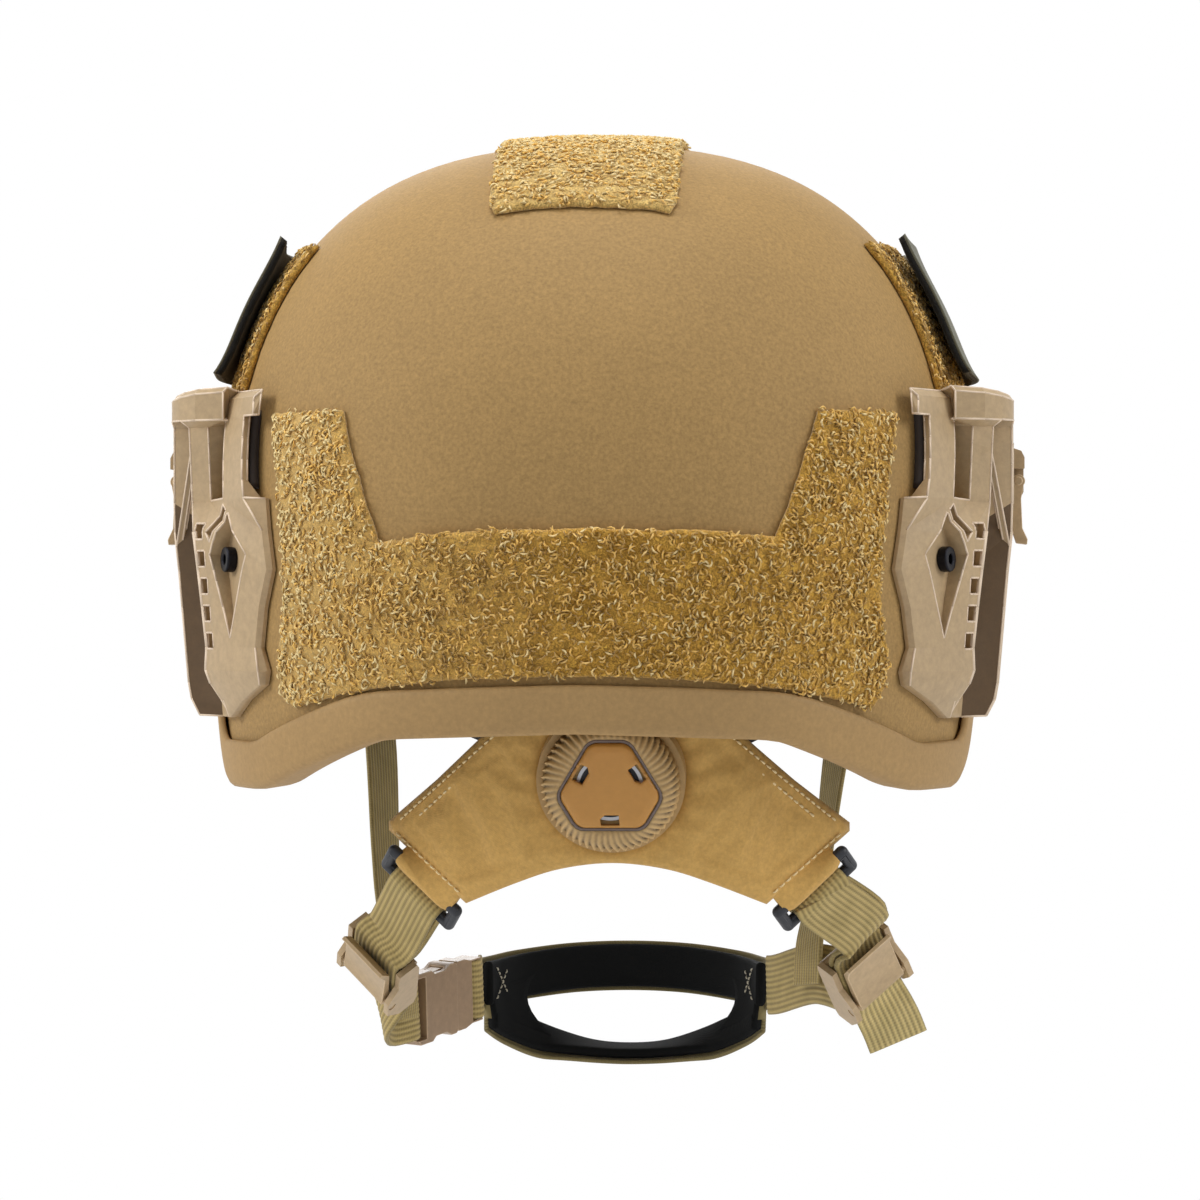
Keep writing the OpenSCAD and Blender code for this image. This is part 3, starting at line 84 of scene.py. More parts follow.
def bulge(edge, reach):
    """1 at an edge and 0 from a distance inwards."""
    return np.clip(1 - edge / reach, 0, 1)


# Smooth value noise from a seeded lattice, from -1 to 1
LATTICE = np.random.RandomState(11).rand(64, 64, 64) * 2 - 1


def noise(points, size, octaves=1, seed=0):
    total, share, scale = 0.0, 1.0, 1.0 / size
    for octave in range(octaves):
        q = np.asarray(points, float) * scale + 17.3 * (seed + octave)
        cell = np.floor(q).astype(int)
        f = q - cell
        f = f * f * (3 - 2 * f)
        value = 0.0
        for corner in range(8):
            step = np.array([corner & 1, corner >> 1 & 1, corner >> 2 & 1])
            i = (cell + step) % 64
            weight = np.prod(np.where(step == 1, f, 1 - f), axis=-1)
            value = value + weight * LATTICE[i[..., 0], i[..., 1], i[..., 2]]
        total = total + share * value
        share, scale = share * 0.5, scale * 2
    return total


# The shell's outer surface, with places on it by angle, side, end or top
def plan_share(z):
    high = np.maximum(1 - (np.maximum(z, 0) / CROWN) ** CROWN_POWER, 0) ** (1 / CROWN_POWER)
    return np.where(z > 0, high, 1 - 0.035 * (z / 60) ** 2)


def length_at(y):
    return np.where(y > 0, SHELL_REAR, SHELL_FRONT)


def plan_radius(x, y):
    return ((np.abs(x) / (SHELL_WIDTH / 2)) ** PLAN_POWER
            + (np.abs(y) / length_at(y)) ** PLAN_POWER) ** (1 / PLAN_POWER)


def rest_of_plan(z, share):
    return np.maximum(plan_share(z) ** PLAN_POWER - share ** PLAN_POWER, 0) ** (1 / PLAN_POWER)


def level(p):
    r, z = plan_radius(p[..., 0], p[..., 1]), p[..., 2]
    high = (r ** CROWN_POWER + (np.maximum(z, 0) / CROWN) ** CROWN_POWER) ** (1 / CROWN_POWER)
    return np.where(z > 0, high - 1, r / plan_share(np.minimum(z, 0)) - 1)


def outward(p):
    step = np.eye(3) * 0.05
    return unit(np.stack([level(p + s) - level(p - s) for s in step], axis=-1))


def lift(p, h):
    return p + np.asarray(h)[..., None] * outward(p)


def at_angle(a, z, h=0.0):
    a, z, h = spread(np.radians(a), z, h)
    k = plan_share(z)
    x, y = (np.sign(v) * np.abs(v) ** (2 / PLAN_POWER) for v in (np.sin(a), np.cos(a)))
    return lift(xyz(SHELL_WIDTH / 2 * k * x, length_at(y) * k * y, z), h)


def at_side(y, z, h=0.0):
    y, z, h = spread(y, z, h)
    return lift(xyz(SHELL_WIDTH / 2 * rest_of_plan(z, np.abs(y) / length_at(y)), y, z), h)


def at_front(x, z, h=0.0):
    x, z, h = spread(x, z, h)
    return lift(xyz(x, -SHELL_FRONT * rest_of_plan(z, np.abs(x) / (SHELL_WIDTH / 2)), z), h)


def at_top(x, y, h=0.0):
    x, y, h = spread(x, y, h)
    z = CROWN * np.maximum(1 - plan_radius(x, y) ** CROWN_POWER, 0) ** (1 / CROWN_POWER)
    return lift(xyz(x, y, z), h)


# Meshes
def make(name, points, faces, look, smooth=True, uv=None, closed=True):
    mesh = bpy.data.meshes.new(name)
    mesh.from_pydata((np.asarray(points, float).reshape(-1, 3) * MM).tolist(), [], faces)
    mesh.validate()
    if smooth:
        mesh.polygons.foreach_set("use_smooth", [True] * len(mesh.polygons))
    if uv is not None:
        layer = mesh.uv_layers.new(name="UVMap")
        corners = np.zeros(len(mesh.loops), int)
        mesh.loops.foreach_get("vertex_index", corners)
        layer.data.foreach_set("uv", (np.asarray(uv, float)[corners]).astype(np.float32).ravel())
    mesh.materials.append(look)
    if closed:
        bm = bmesh.new()
        bm.from_mesh(mesh)
        bmesh.ops.recalc_face_normals(bm, faces=bm.faces)
        bm.to_mesh(mesh)
        bm.free()
    return shown(name, mesh)


def shown(name, data):
    obj = bpy.data.objects.new(name, data)
    bpy.context.scene.collection.objects.link(obj)
    return obj


def settle(obj, body, slot, *nodes):
    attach(obj, body)
    if nodes:
        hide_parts(*nodes)
    return obj


def grid_faces(rows, cols, around=False, start=0, flip=False):
    faces = []
    for i in range(rows - 1):
        for j in range(cols if around else cols - 1):
            a, b = i * cols + j, i * cols + (j + 1) % cols
            face = [a + start, b + start, b + cols + start, a + cols + start]
            faces.append(face[::-1] if flip else face)
    return faces


def tube_faces(rows, cols, start=0):
    """Rings one after another, closed at both ends."""
    last = start + (rows - 1) * cols
    ends = [list(range(start, start + cols))[::-1], list(range(last, last + cols))]
    return grid_faces(rows, cols, True, start) + ends


def torus_faces(rows, cols):
    """Rings one after another, and the last joined to the first."""
    return [[i % (rows * cols) for i in face] for face in grid_faces(rows + 1, cols, True)]


def slab(name, top, base, look):
    """Closed solid between two grids of points, with the first grid outside."""
    rows, cols = top.shape[:2]
    n = rows * cols
    faces = grid_faces(rows, cols) + grid_faces(rows, cols, start=n, flip=True)
    rim = list(range(cols)) + [i * cols + cols - 1 for i in range(1, rows)]
    rim += [(rows - 1) * cols + j for j in range(cols - 2, -1, -1)] + [i * cols for i in range(rows - 2, 0, -1)]
    faces += [[b, a, a + n, b + n] for a, b in zip(rim, rim[1:] + rim[:1])]
    return make(name, np.concatenate([top.reshape(-1, 3), base.reshape(-1, 3)]), faces, look)


# Looks
def srgb(r, g, b):
    return [((c / 255 + 0.055) / 1.055) ** 2.4 if c > 10 else c / 255 / 12.92 for c in (r, g, b)] + [1.0]


def shaded(color, k):
    return tuple(min(255, max(0, c * k)) for c in color)


class Look:
    """A material with short ways to add procedural nodes."""

    def __init__(self, name, color, rough, **sockets):
        self.mat = bpy.data.materials.new(name)
        self.mat.use_nodes = True
        self.tree = self.mat.node_tree
        self.bsdf = self.tree.nodes["Principled BSDF"]
        self.bsdf.inputs["Base Color"].default_value = srgb(*color)
        self.bsdf.inputs["Roughness"].default_value = rough
        for key, value in sockets.items():
            self.bsdf.inputs[key.replace("_", " ")].default_value = value
        self.where = self.add("ShaderNodeTexCoord").outputs["Object"]
        self.normal = None

    def feed(self, socket, value):
        if isinstance(value, bpy.types.NodeSocket):
            self.tree.links.new(value, socket)
        else:
            socket.default_value = value

    def add(self, kind, **inputs):
        node = self.tree.nodes.new(kind)
        for key, value in inputs.items():
            self.feed(node.inputs[key.replace("_", " ")], value)
        return node

    def paint(self, color):
        self.tree.links.new(color, self.bsdf.inputs["Base Color"])

    def noise(self, size, detail=3.0, rough=0.6, distortion=0.0):
        """Noise whose blots are about size millimetres wide."""
        return self.add("ShaderNodeTexNoise", Vector=self.where, Scale=1 / (size * MM), Detail=detail,
                        Roughness=rough, Distortion=distortion).outputs["Fac"]

    def math(self, kind, a, b=0.0):
        node = self.tree.nodes.new("ShaderNodeMath")
        node.operation = kind
        self.feed(node.inputs[0], a)
        self.feed(node.inputs[1], b)
        return node.outputs[0]

    def wave(self, place, pitch, kind="SINE"):
        """A wave that comes back every pitch."""
        return self.math(kind, self.math("MULTIPLY", place, 6.283 / pitch))

    def ramp(self, fac, *stops):
        node = self.tree.nodes.new("ShaderNodeValToRGB")
        while len(node.color_ramp.elements) < len(stops):
            node.color_ramp.elements.new(0.5)
        for element, (place, color) in zip(node.color_ramp.elements, stops):
            element.position = place
            element.color = srgb(*color)
        self.tree.links.new(fac, node.inputs["Fac"])
        return node.outputs["Color"]

    def blend(self, fac, a, b, kind="MIX"):
        node = self.tree.nodes.new("ShaderNodeMix")
        node.data_type = "RGBA"
        node.blend_type = kind
        for socket, value in ((node.inputs["Factor"], fac), (node.inputs[6], a), (node.inputs[7], b)):
            self.feed(socket, value)
        return node.outputs[2]

    def mottled(self, color, size, dark, detail=3.0):
        """A colour under slow blots of a darker tone."""
        tone = self.ramp(self.noise(size, detail), (0.3, dark), (0.7, (255, 255, 255)))
        return self.blend(1.0, color, tone, "MULTIPLY")

    def speckle(self, color, fine, strength, coarse=60):
        """Fine speckle over slow changes of tone."""
        grain = self.ramp(self.noise(fine, 4, 0.7), (0.3, shaded(color, 1 - strength)), (0.5, color),
                          (0.7, shaded(color, 1 + strength)))
        self.paint(self.mottled(grain, coarse, (244, 244, 244), 2))

    def bump(self, height, distance, strength=1.0):
        node = self.add("ShaderNodeBump", Height=height, Distance=distance * MM, Strength=strength)
        if self.normal is not None:
            self.tree.links.new(self.normal, node.inputs["Normal"])
        self.normal = node.outputs["Normal"]
        self.tree.links.new(self.normal, self.bsdf.inputs["Normal"])

    def axes(self, source):
        return self.add("ShaderNodeSeparateXYZ", Vector=source).outputs

    def uv(self):
        """The two numbers that a piece carries on its map."""
        parts = self.axes(self.add("ShaderNodeUVMap").outputs[0])
        return parts["X"], parts["Y"]


def surface(name, color, rough, speckle, *grit, **sockets):
    """Speckled colour with layers of fine relief, each given as its noise and its depth."""
    look = Look(name, color, rough, **sockets)
    look.speckle(color, *speckle)
    for grain, depth in grit:
        look.bump(look.noise(*grain), *depth)
    return look.mat


MOULDED_GRAIN = ((0.55,), (0.06, 0.4))


def plastic(name, color, rough=0.5, mould=0.05):
    return surface(name, color, rough, (2.5, mould), MOULDED_GRAIN, Specular_IOR_Level=0.4)


def metal(name, color, rough):
    return surface(name, color, rough, (3, 0.06), ((0.4, 2), (0.02, 0.3)), Metallic=1.0)


def pile(name, color, sheen=0.25, left_light=False):
    """The bed of a loop panel, which may turn paler towards the wearer's left as painted light from that side.
    """
    look = Look(name, color, 0.9, Specular_IOR_Level=0.12, Sheen_Weight=sheen, Sheen_Roughness=0.4,
                Sheen_Tint=srgb(255, 236, 200))
    bed = look.ramp(look.noise(1.1, 5, 0.72, 1.6), (0.32, shaded(color, 0.6)), (0.46, shaded(color, 0.9)),
                    (0.58, shaded(color, 1.15)), (0.72, shaded(color, 1.45)))
    bed = look.mottled(bed, 6, (228, 224, 216))
    if left_light:
        # Painted light: paler towards +x, the side the left lamp lights.
        left = look.math("MULTIPLY", look.axes(look.where)["X"], 4.5)
        share = look.math("MINIMUM", look.math("MAXIMUM", left, 0.0), 0.45)
        bed = look.blend(share, bed, srgb(236, 204, 138))
    look.paint(bed)
    look.bump(look.noise(0.8, 4, 0.7, 2.0), 0.5, 0.7)
    return look.mat


def yarn_look(name, dark, middle, light):
    """Each arc of yarn has one tone between dark and light, and darkens towards its ends as painted shade where
    it meets the bed.
    """
    look = Look(name, middle, 0.75, Specular_IOR_Level=0.25, Sheen_Weight=0.5, Sheen_Roughness=0.4,
                Sheen_Tint=srgb(255, 236, 200))
    tone, along = look.uv()
    shade = look.ramp(tone, (0.0, dark), (0.45, middle), (0.8, shaded(middle, 1.18)), (1.0, light))
    # Painted shade: each arc is darker towards both ends, where it meets the bed.
    bend = look.ramp(along, (0.0, (205, 200, 190)), (0.5, (255, 255, 255)), (1.0, (205, 200, 190)))
    look.paint(look.blend(1.0, shade, bend, "MULTIPLY"))
    look.bump(look.noise(0.25, 2), 0.05, 0.4)
    return look.mat


def fabric(name, color, pitch=0.55, sheen=0.15, rough=0.85, deep=0.05):
    """Plain weave on object coordinates, so that it needs no unwrapping."""
    look = Look(name, color, rough, Specular_IOR_Level=0.2, Sheen_Weight=sheen, Sheen_Roughness=0.4)
    parts = look.axes(look.where)
    warp = look.wave(look.math("ADD", parts["X"], parts["Y"]), pitch * MM)
    look.speckle(color, 1.4, 0.06, 35)
    look.bump(look.math("MULTIPLY", warp, look.wave(parts["Z"], pitch * MM)), deep, 0.6)
    look.bump(look.noise(12), 0.5, 0.2)
    return look.mat


def webbing(name, color, pitch):
    """Cords along the band with a fine weft over them, on a map in millimetres."""
    look = Look(name, color, 0.8, Specular_IOR_Level=0.25, Sheen_Weight=0.15, Sheen_Roughness=0.4)
    along, across = look.uv()
    cords, weft = look.wave(across, pitch, "COSINE"), look.wave(along, 0.85)
    twill = look.wave(look.math("ADD", along, across), 1.3)
    weave = look.math("ADD", look.math("MULTIPLY", cords, 0.26), look.math("MULTIPLY", weft, 0.07))
    weave = look.math("ADD", weave, look.math("ADD", look.math("MULTIPLY", twill, 0.05), 0.5))
    shade = look.ramp(weave, (0.1, shaded(color, 0.76)), (0.5, shaded(color, 0.99)), (0.9, shaded(color, 1.13)))
    look.paint(look.mottled(shade, 7, (232, 232, 226)))
    look.bump(weave, 0.3, 0.8)
    return look.mat


def teeth(name, color):
    """Painted highlight on the tips and painted shade in the roots of the knob's rim."""
    look = Look(name, color, 0.5, Specular_IOR_Level=0.4)
    tooth = look.ramp(look.uv()[0], (0.0, shaded(color, 1.2)), (0.45, color), (0.95, shaded(color, 0.42)))
    look.paint(look.mottled(tooth, 2.5, (238, 236, 230)))
    look.bump(look.noise(*MOULDED_GRAIN[0]), *MOULDED_GRAIN[1])
    return look.mat


PAINT = surface("textured_paint", (166, 133, 81), 0.72, (1.1, 0.1), ((0.9, 5, 0.75), (0.22, 0.5)),
                ((4.5, 2), (0.25, 0.25)), Specular_IOR_Level=0.35)
RUBBER = surface("rubber_trim", (172, 139, 91), 0.62, (1.6, 0.05), ((1.2,), (0.12, 0.3)),
                 Specular_IOR_Level=0.3)
PILE = pile("loop_pile", (192, 148, 67), 0.6)
# The rear's pile turns paler towards the wearer's left, as painted light from that side.
REAR_PILE_LIT_LEFT = pile("loop_pile_rear", (200, 154, 69), 0.6, True)
# Paler pile for the crown, which paints the light that falls on it from above: painted light.
LIT_PILE = pile("loop_pile_pale", (222, 186, 114), 0.6)
HOOKS = pile("cover_hooks", (30, 30, 30))
YARN = yarn_look("loop_yarn", (160, 120, 55), (212, 171, 90), (246, 222, 162))
TAN = plastic("moulded_tan", (184, 158, 121), 0.45)
# Paler tan that the bevels take: partly wear, partly painted highlight.
TAN_EDGE_WEAR_AND_HIGHLIGHT = plastic("moulded_tan_edge_wear_and_highlight", (210, 184, 146), 0.4)
# Paler tan for the beads along the rails' edges: partly wear, partly painted highlight.
TAN_BEAD_WEAR_AND_HIGHLIGHT = plastic("moulded_tan_bead_wear_and_highlight", (232, 210, 184), 0.4, 0.02)
# Near black for the slabs that paint the shade under the rails' upright: painted shade.
GAP_SHADE = plastic("painted_gap_shade", (52, 44, 40), 0.75)
# Dark brown for the channel behind the ear, which paints its shadow: painted shade.
CHANNEL_SHADE = plastic("painted_channel_shade", (92, 70, 44), 0.6)
DARK = plastic("moulded_black", (44, 46, 52), 0.45)
BROWN = plastic("moulded_brown", (158, 131, 103), 0.4)
# Paler brown that the buckle's bevels take: partly wear, partly painted highlight.
BROWN_EDGE_WEAR_AND_HIGHLIGHT = plastic("moulded_brown_edge_wear_and_highlight", (188, 161, 131), 0.35)
DIAL = plastic("moulded_dial", (184, 150, 98))
# The knob's teeth with painted highlight on the tips and painted shade in the roots.
TEETH_SHADE_AND_HIGHLIGHT = teeth("knurled_dial_painted_shade", (190, 158, 108))
CAP = plastic("moulded_cap", (192, 138, 66), 0.35, 0.02)
RIM = plastic("moulded_grey", (118, 104, 98), 0.4)
FOAM = plastic("liner_foam", (58, 58, 60), 0.9, 0.15)
PADS = fabric("pad_knit", (34, 34, 35), 0.8, 0.3)
LINING = fabric("cup_lining", (6, 7, 7), 0.7, 0.0, 0.9)
NAPE_CLOTH = fabric("nape_cloth", (202, 161, 92), 0.5, 0.12, 0.75, 0.03)
THREAD = fabric("thread", (240, 216, 164), 0.3)
PALE_THREAD = fabric("pale_thread", (196, 188, 166), 0.3)
COVER = fabric("cover_cloth", (106, 104, 88), 0.6)
OLIVE = webbing("cup_cover", (124, 112, 76), 2.0)
WEB = webbing("webbing", (180, 159, 106), 1.73)
# A lighter copy of the webbing that paints more light onto the hanging tail: painted light.
LIT_WEB = webbing("webbing_painted_light", (205, 185, 130), 1.73)
STEEL = metal("plain_steel", (170, 170, 172), 0.35)
OXIDE = metal("black_oxide", (38, 38, 42), 0.42)
ANODISED = metal("anodised", (60, 56, 52), 0.4)


# Shell and its edge
def corner_arc(p, q, r, radius):
    a, b = unit(p - q), unit(r - q)
    half = math.acos(np.clip(a @ b, -1, 1)) / 2
    c = q + unit(a + b) * radius / math.sin(half)
    s, e = q + a * radius / math.tan(half) - c, q + b * radius / math.tan(half) - c
    start = math.atan2(s[1], s[0])
    turn = (math.atan2(e[1], e[0]) - start + 3 * math.pi) % (2 * math.pi) - math.pi
    steps = max(2, math.ceil(abs(turn) / 0.07))
    return [c + radius * vec(math.cos(start + turn * i / steps), math.sin(start + turn * i / steps))
            for i in range(steps + 1)]


def edge_path(step=4.0):
    """Angle from the back and height along the shell's edge, once round."""
    keys = [(0, -36, 0), (28, -38, 70), (55, -54, 50), (76, -54, 17), (84, 14, 20), (128, 9, 90), (160, 20, 90),
            (180, 20, 0)]
    pts = [vec(a * DEGREE, z) for a, z, _ in keys]
    path = [pts[0]]
    for i in range(1, len(keys) - 1):
        path += corner_arc(pts[i - 1], pts[i], pts[i + 1], keys[i][2])
    path.append(pts[-1])
    fine = []
    for a, b in zip(path, path[1:]):
        n = max(1, math.ceil(np.linalg.norm(b - a) / step))
        fine += [mix(a, b, k / n) for k in range(n)]
    half = np.array(fine + [path[-1]]) / vec(DEGREE, 1)
    return np.concatenate([half, (vec(360, 0) + half[-2:0:-1] * vec(-1, 1))])


EDGE = edge_path()

# Rows of a bowl are even in an angle that goes on below the widest line, and stop short of the top
BELOW, TOP_ANGLE = CROWN / 78, 85


def rise_angle(z):
    return np.where(z > 0, np.degrees(np.arcsin((np.maximum(z, 0) / CROWN) ** (CROWN_POWER / 2))), z / BELOW)


def rise_height(t):
    return np.where(t > 0, CROWN * np.sin(np.radians(np.maximum(t, 0))) ** (2 / CROWN_POWER), t * BELOW)


def bowl(name, angles, rim, outer, inner, rows, look):
    cols = len(angles)
    low = rise_angle(np.broadcast_to(np.asarray(rim, float), (cols,)))
    z = rise_height(low[None, :] + (TOP_ANGLE - low[None, :]) * np.linspace(0, 1, rows)[:, None])
    a = np.broadcast_to(angles, z.shape)
    n = rows * cols
    points = np.concatenate([at_angle(a, z, outer).reshape(-1, 3), at_angle(a, z, inner).reshape(-1, 3),
                             [[0, 0, CROWN + outer], [0, 0, CROWN + inner]]])
    faces = grid_faces(rows, cols, True) + grid_faces(rows, cols, True, n, True)
    for j in range(cols):
        k = (j + 1) % cols
        faces += [[k, j, n + j, n + k], [n - cols + j, n - cols + k, 2 * n],
                  [2 * n - cols + k, 2 * n - cols + j, 2 * n + 1]]
    return make(name, points, faces, look)


def shell():
    skin = bowl("shell_skin", EDGE[:, 0], EDGE[:, 1], -0.05, -WALL + 0.05, 44, PAINT)
    settle(skin, "helmet", "tan_paint", "shell")


def edge_trim():
    p = at_angle(EDGE[:, 0], EDGE[:, 1])
    out = outward(p)
    up = unit(np.cross(unit(np.roll(p, -1, 0) - np.roll(p, 1, 0)), out))
    fit, lip, deep, thick = 1.7 * GAP, 2.6, 12.0, 2.0
    inside = -WALL - fit
    inner = [(fit, -fit), (inside, -fit), (inside, deep - 3), (inside - 0.8, deep - 3),
             (inside - 1.6, deep - 3.8), (inside - 2, deep - 6), (inside - 2, 0), (inside - 1.5, -1.4),
             (inside - 0.6, -2.3), (-WALL + 1, -lip), (-1, -lip)]
    outer = [(0.6, -2.3), (1.5, -1.4), (thick, 0), (thick, 3), (thick, deep - 2.2), (1.75, deep - 1),
             (1.2, deep - 0.2), (0.5, deep - 0.05), (0, deep)]
    profile = inner + [(fit + 0.96 * x, y) for x, y in outer]
    rings = np.stack([p + x * out + y * up for x, y in profile])
    rings[14:] += 0.18 * noise(rings[15], 26)[:, None] * up
    trim = make("edge_trim_rubber", rings, torus_faces(len(profile), len(EDGE)), RUBBER)
    settle(trim, "helmet", "rubber_tan", "edge_trim")


# Filled outlines: a flat triangulation with its distance to the edge
def inside_outline(points, outline):
    x, y = points[:, 0], points[:, 1]
    hit = np.zeros(len(points), bool)
    distance = np.full(len(points), 1e9)
    for a, b in zip(outline, np.roll(outline, -1, 0)):
        if a[1] != b[1]:
            crosses = ((a[1] > y) != (b[1] > y)) & (x < (b[0] - a[0]) * (y - a[1]) / (b[1] - a[1]) + a[0])
            hit ^= crosses
        t = np.clip(((points - a) @ (b - a)) / max((b - a) @ (b - a), 1e-9), 0, 1)
        distance = np.minimum(distance, np.linalg.norm(points - a - t[:, None] * (b - a), axis=1))
    return hit, distance


def spaced(points, step):
    points = np.asarray(points, float)
    out = []
    for a, b in zip(points, np.roll(points, -1, 0)):
        n = max(1, round(np.linalg.norm(b - a) / step))
        out += [mix(a, b, k / n) for k in range(n)]
    return np.array(out)


def filled(outline, holes, cell, jitter=0.45):
    loops = [outline] + list(holes)
    low, high = outline.min(0), outline.max(0)
    xs, ys = np.arange(low[0], high[0], cell), np.arange(low[1], high[1], cell * 0.87)
    grid = np.array([(x + (i % 2) * cell / 2, y) for i, y in enumerate(ys) for x in xs])
    grid += (rng.rand(*grid.shape) - 0.5) * cell * jitter
    hit, edge = inside_outline(grid, outline)
    for hole in holes:
        within, distance = inside_outline(grid, hole)
        hit &= ~within
        edge = np.minimum(edge, distance)
    grid = grid[hit & (edge > cell * 0.55)]
    points, edges = [], []
    for loop in loops:
        n, start = len(loop), len(points)
        edges += [(start + i, start + (i + 1) % n) for i in range(n)]
        points += list(loop)
    out = delaunay_2d_cdt([Vector(p) for p in points + list(grid)], edges, [], 0, 1e-5)
    flat = np.array([(v.x, v.y) for v in out[0]])
    faces = np.array([list(f) for f in out[2]])
    middle = flat[faces].mean(1)
    keep = inside_outline(middle, outline)[0]
    for hole in holes:
        keep &= ~inside_outline(middle, hole)[0]
    edge = np.min([inside_outline(flat, loop)[1] for loop in loops], axis=0)
    return flat, faces[keep].tolist(), edge


def two_sided(name, flat, faces, front, back, look):
    """Closed solid between two lifted copies of a flat triangulation."""
    count = len(flat)
    rim = dict.fromkeys((a, b) for f in faces for a, b in zip(f, f[1:] + f[:1]))
    walls = [[b, a, a + count, b + count] for a, b in rim if (b, a) not in rim]
    under = [[i + count for i in f[::-1]] for f in faces]
    return make(name, np.concatenate([front, back]), faces + under + walls, look)


# Loop panels: a ragged outline on a flat chart, filled with points and laid on the shell
def ragged(keys, seed=1):
    keys = [vec(*k) for k in keys]
    out = []
    for a, b in zip(keys, keys[1:] + keys[:1]):
        n = max(1, round(np.linalg.norm(b - a) / 0.9))
        side = unit(vec(b[1] - a[1], a[0] - b[0]))
        for k in range(n):
            p = mix(a, b, k / n)
            q = np.append(p, seed * 9.7)
            out.append(p + side * 0.45 * (0.9 * noise(q, 7.0, 2) + 0.5 * noise(q, 1.6)))
    return np.array(out)


def yarn(name, spots, normals, draw, painted_light):
    """Short arcs of yarn lying on a surface, each with a random tone in its map's first axis, raised by painted
    light where painted_light says.
    """
    n, steps, sides = len(spots), 5, 3
    t = np.linspace(0, 1, steps)
    arch = np.sin(math.pi * t)[None, :, None]
    along = unit(np.cross(normals, draw.randn(n, 3)))[:, None]
    across = np.cross(normals, along[:, 0])[:, None]
    size, bend, rise = (k * draw.uniform(low, high, n)[:, None, None]
                        for k, low, high in ((2.5, 0.6, 1.25), (1, -0.5, 0.5), (1, 0.15, 0.8)))
    path = (spots[:, None] + size * (t[None, :, None] - 0.5) * along + size * bend * arch * across
            + rise * arch * normals[:, None])
    ahead = unit(np.gradient(path, axis=1))
    flank = np.cross(ahead, normals[:, None])
    thick = 0.36 * np.array([0.3, 1, 1, 1, 0.3])[None, :, None, None]
    turn = 2 * math.pi * np.arange(sides) / sides
    ring = (np.cos(turn)[None, None, :, None] * flank[:, :, None]
            + np.sin(turn)[None, None, :, None] * np.cross(flank, ahead)[:, :, None])
    count = steps * sides
    tube = tube_faces(steps, sides)
    faces = []
    for part in (tube[:-2], tube[-2:]):
        part = np.array(part)[None] + (count * np.arange(n))[:, None, None]
        faces += part.reshape(-1, part.shape[-1]).tolist()
    tone = np.repeat(np.clip(draw.rand(n) * (1 - 0.5 * painted_light) + painted_light, 0, 1), count)
    return make(name, path[:, :, None] + thick * ring, faces, YARN, closed=False,
                uv=np.stack([tone, np.tile(np.repeat(t, sides), n)], -1))


def pile_panel(name, outline, chart, seed, painted_light=((0,), (0,)), look=PILE):
    """A rough bed with yarn, the yarn paler along its first axis as painted_light says: painted light."""
    flat, faces, edge = filled(outline, [], 0.95)
    q = np.concatenate([flat, np.full((len(flat), 1), 3.3)], 1)
    tufts = 0.3 * noise(q, 1.5, 2, 3) + 0.25 * (rng.rand(len(flat)) - 0.5) + 0.3 * noise(q, 5.0, 1, 5)
    height = LOOP - 0.8 + tufts - 0.75 * bulge(edge, 1.6) ** 2
    height = np.where(edge < 1e-3, 0.72, 1) * np.clip(height, 0.8, LOOP)
    bed = two_sided(name, flat, faces, chart(flat, GAP + height), chart(flat, np.full(len(flat), GAP)), look)
    settle(bed, "helmet", "loop_tan", name.replace("pile", "panel"))
    draw = np.random.RandomState(seed)
    low, high = outline.min(0), outline.max(0)
    spots = low + (high - low) * draw.rand(int(0.45 * np.prod(high - low)), 2)
    hit, edge = inside_outline(spots, outline)
    spots, edge = spots[hit], edge[hit]
    base = GAP + LOOP - 0.75 - 1.1 * bulge(edge, 1.8) ** 2
    foot = chart(spots, base)
    draw = np.random.RandomState(seed)
    arcs = yarn(name.replace("pile", "yarn"), foot, unit(chart(spots, base + 1) - foot), draw,
                np.interp(spots[:, 0], *painted_light))
    settle(arcs, "helmet", "loop_tan")


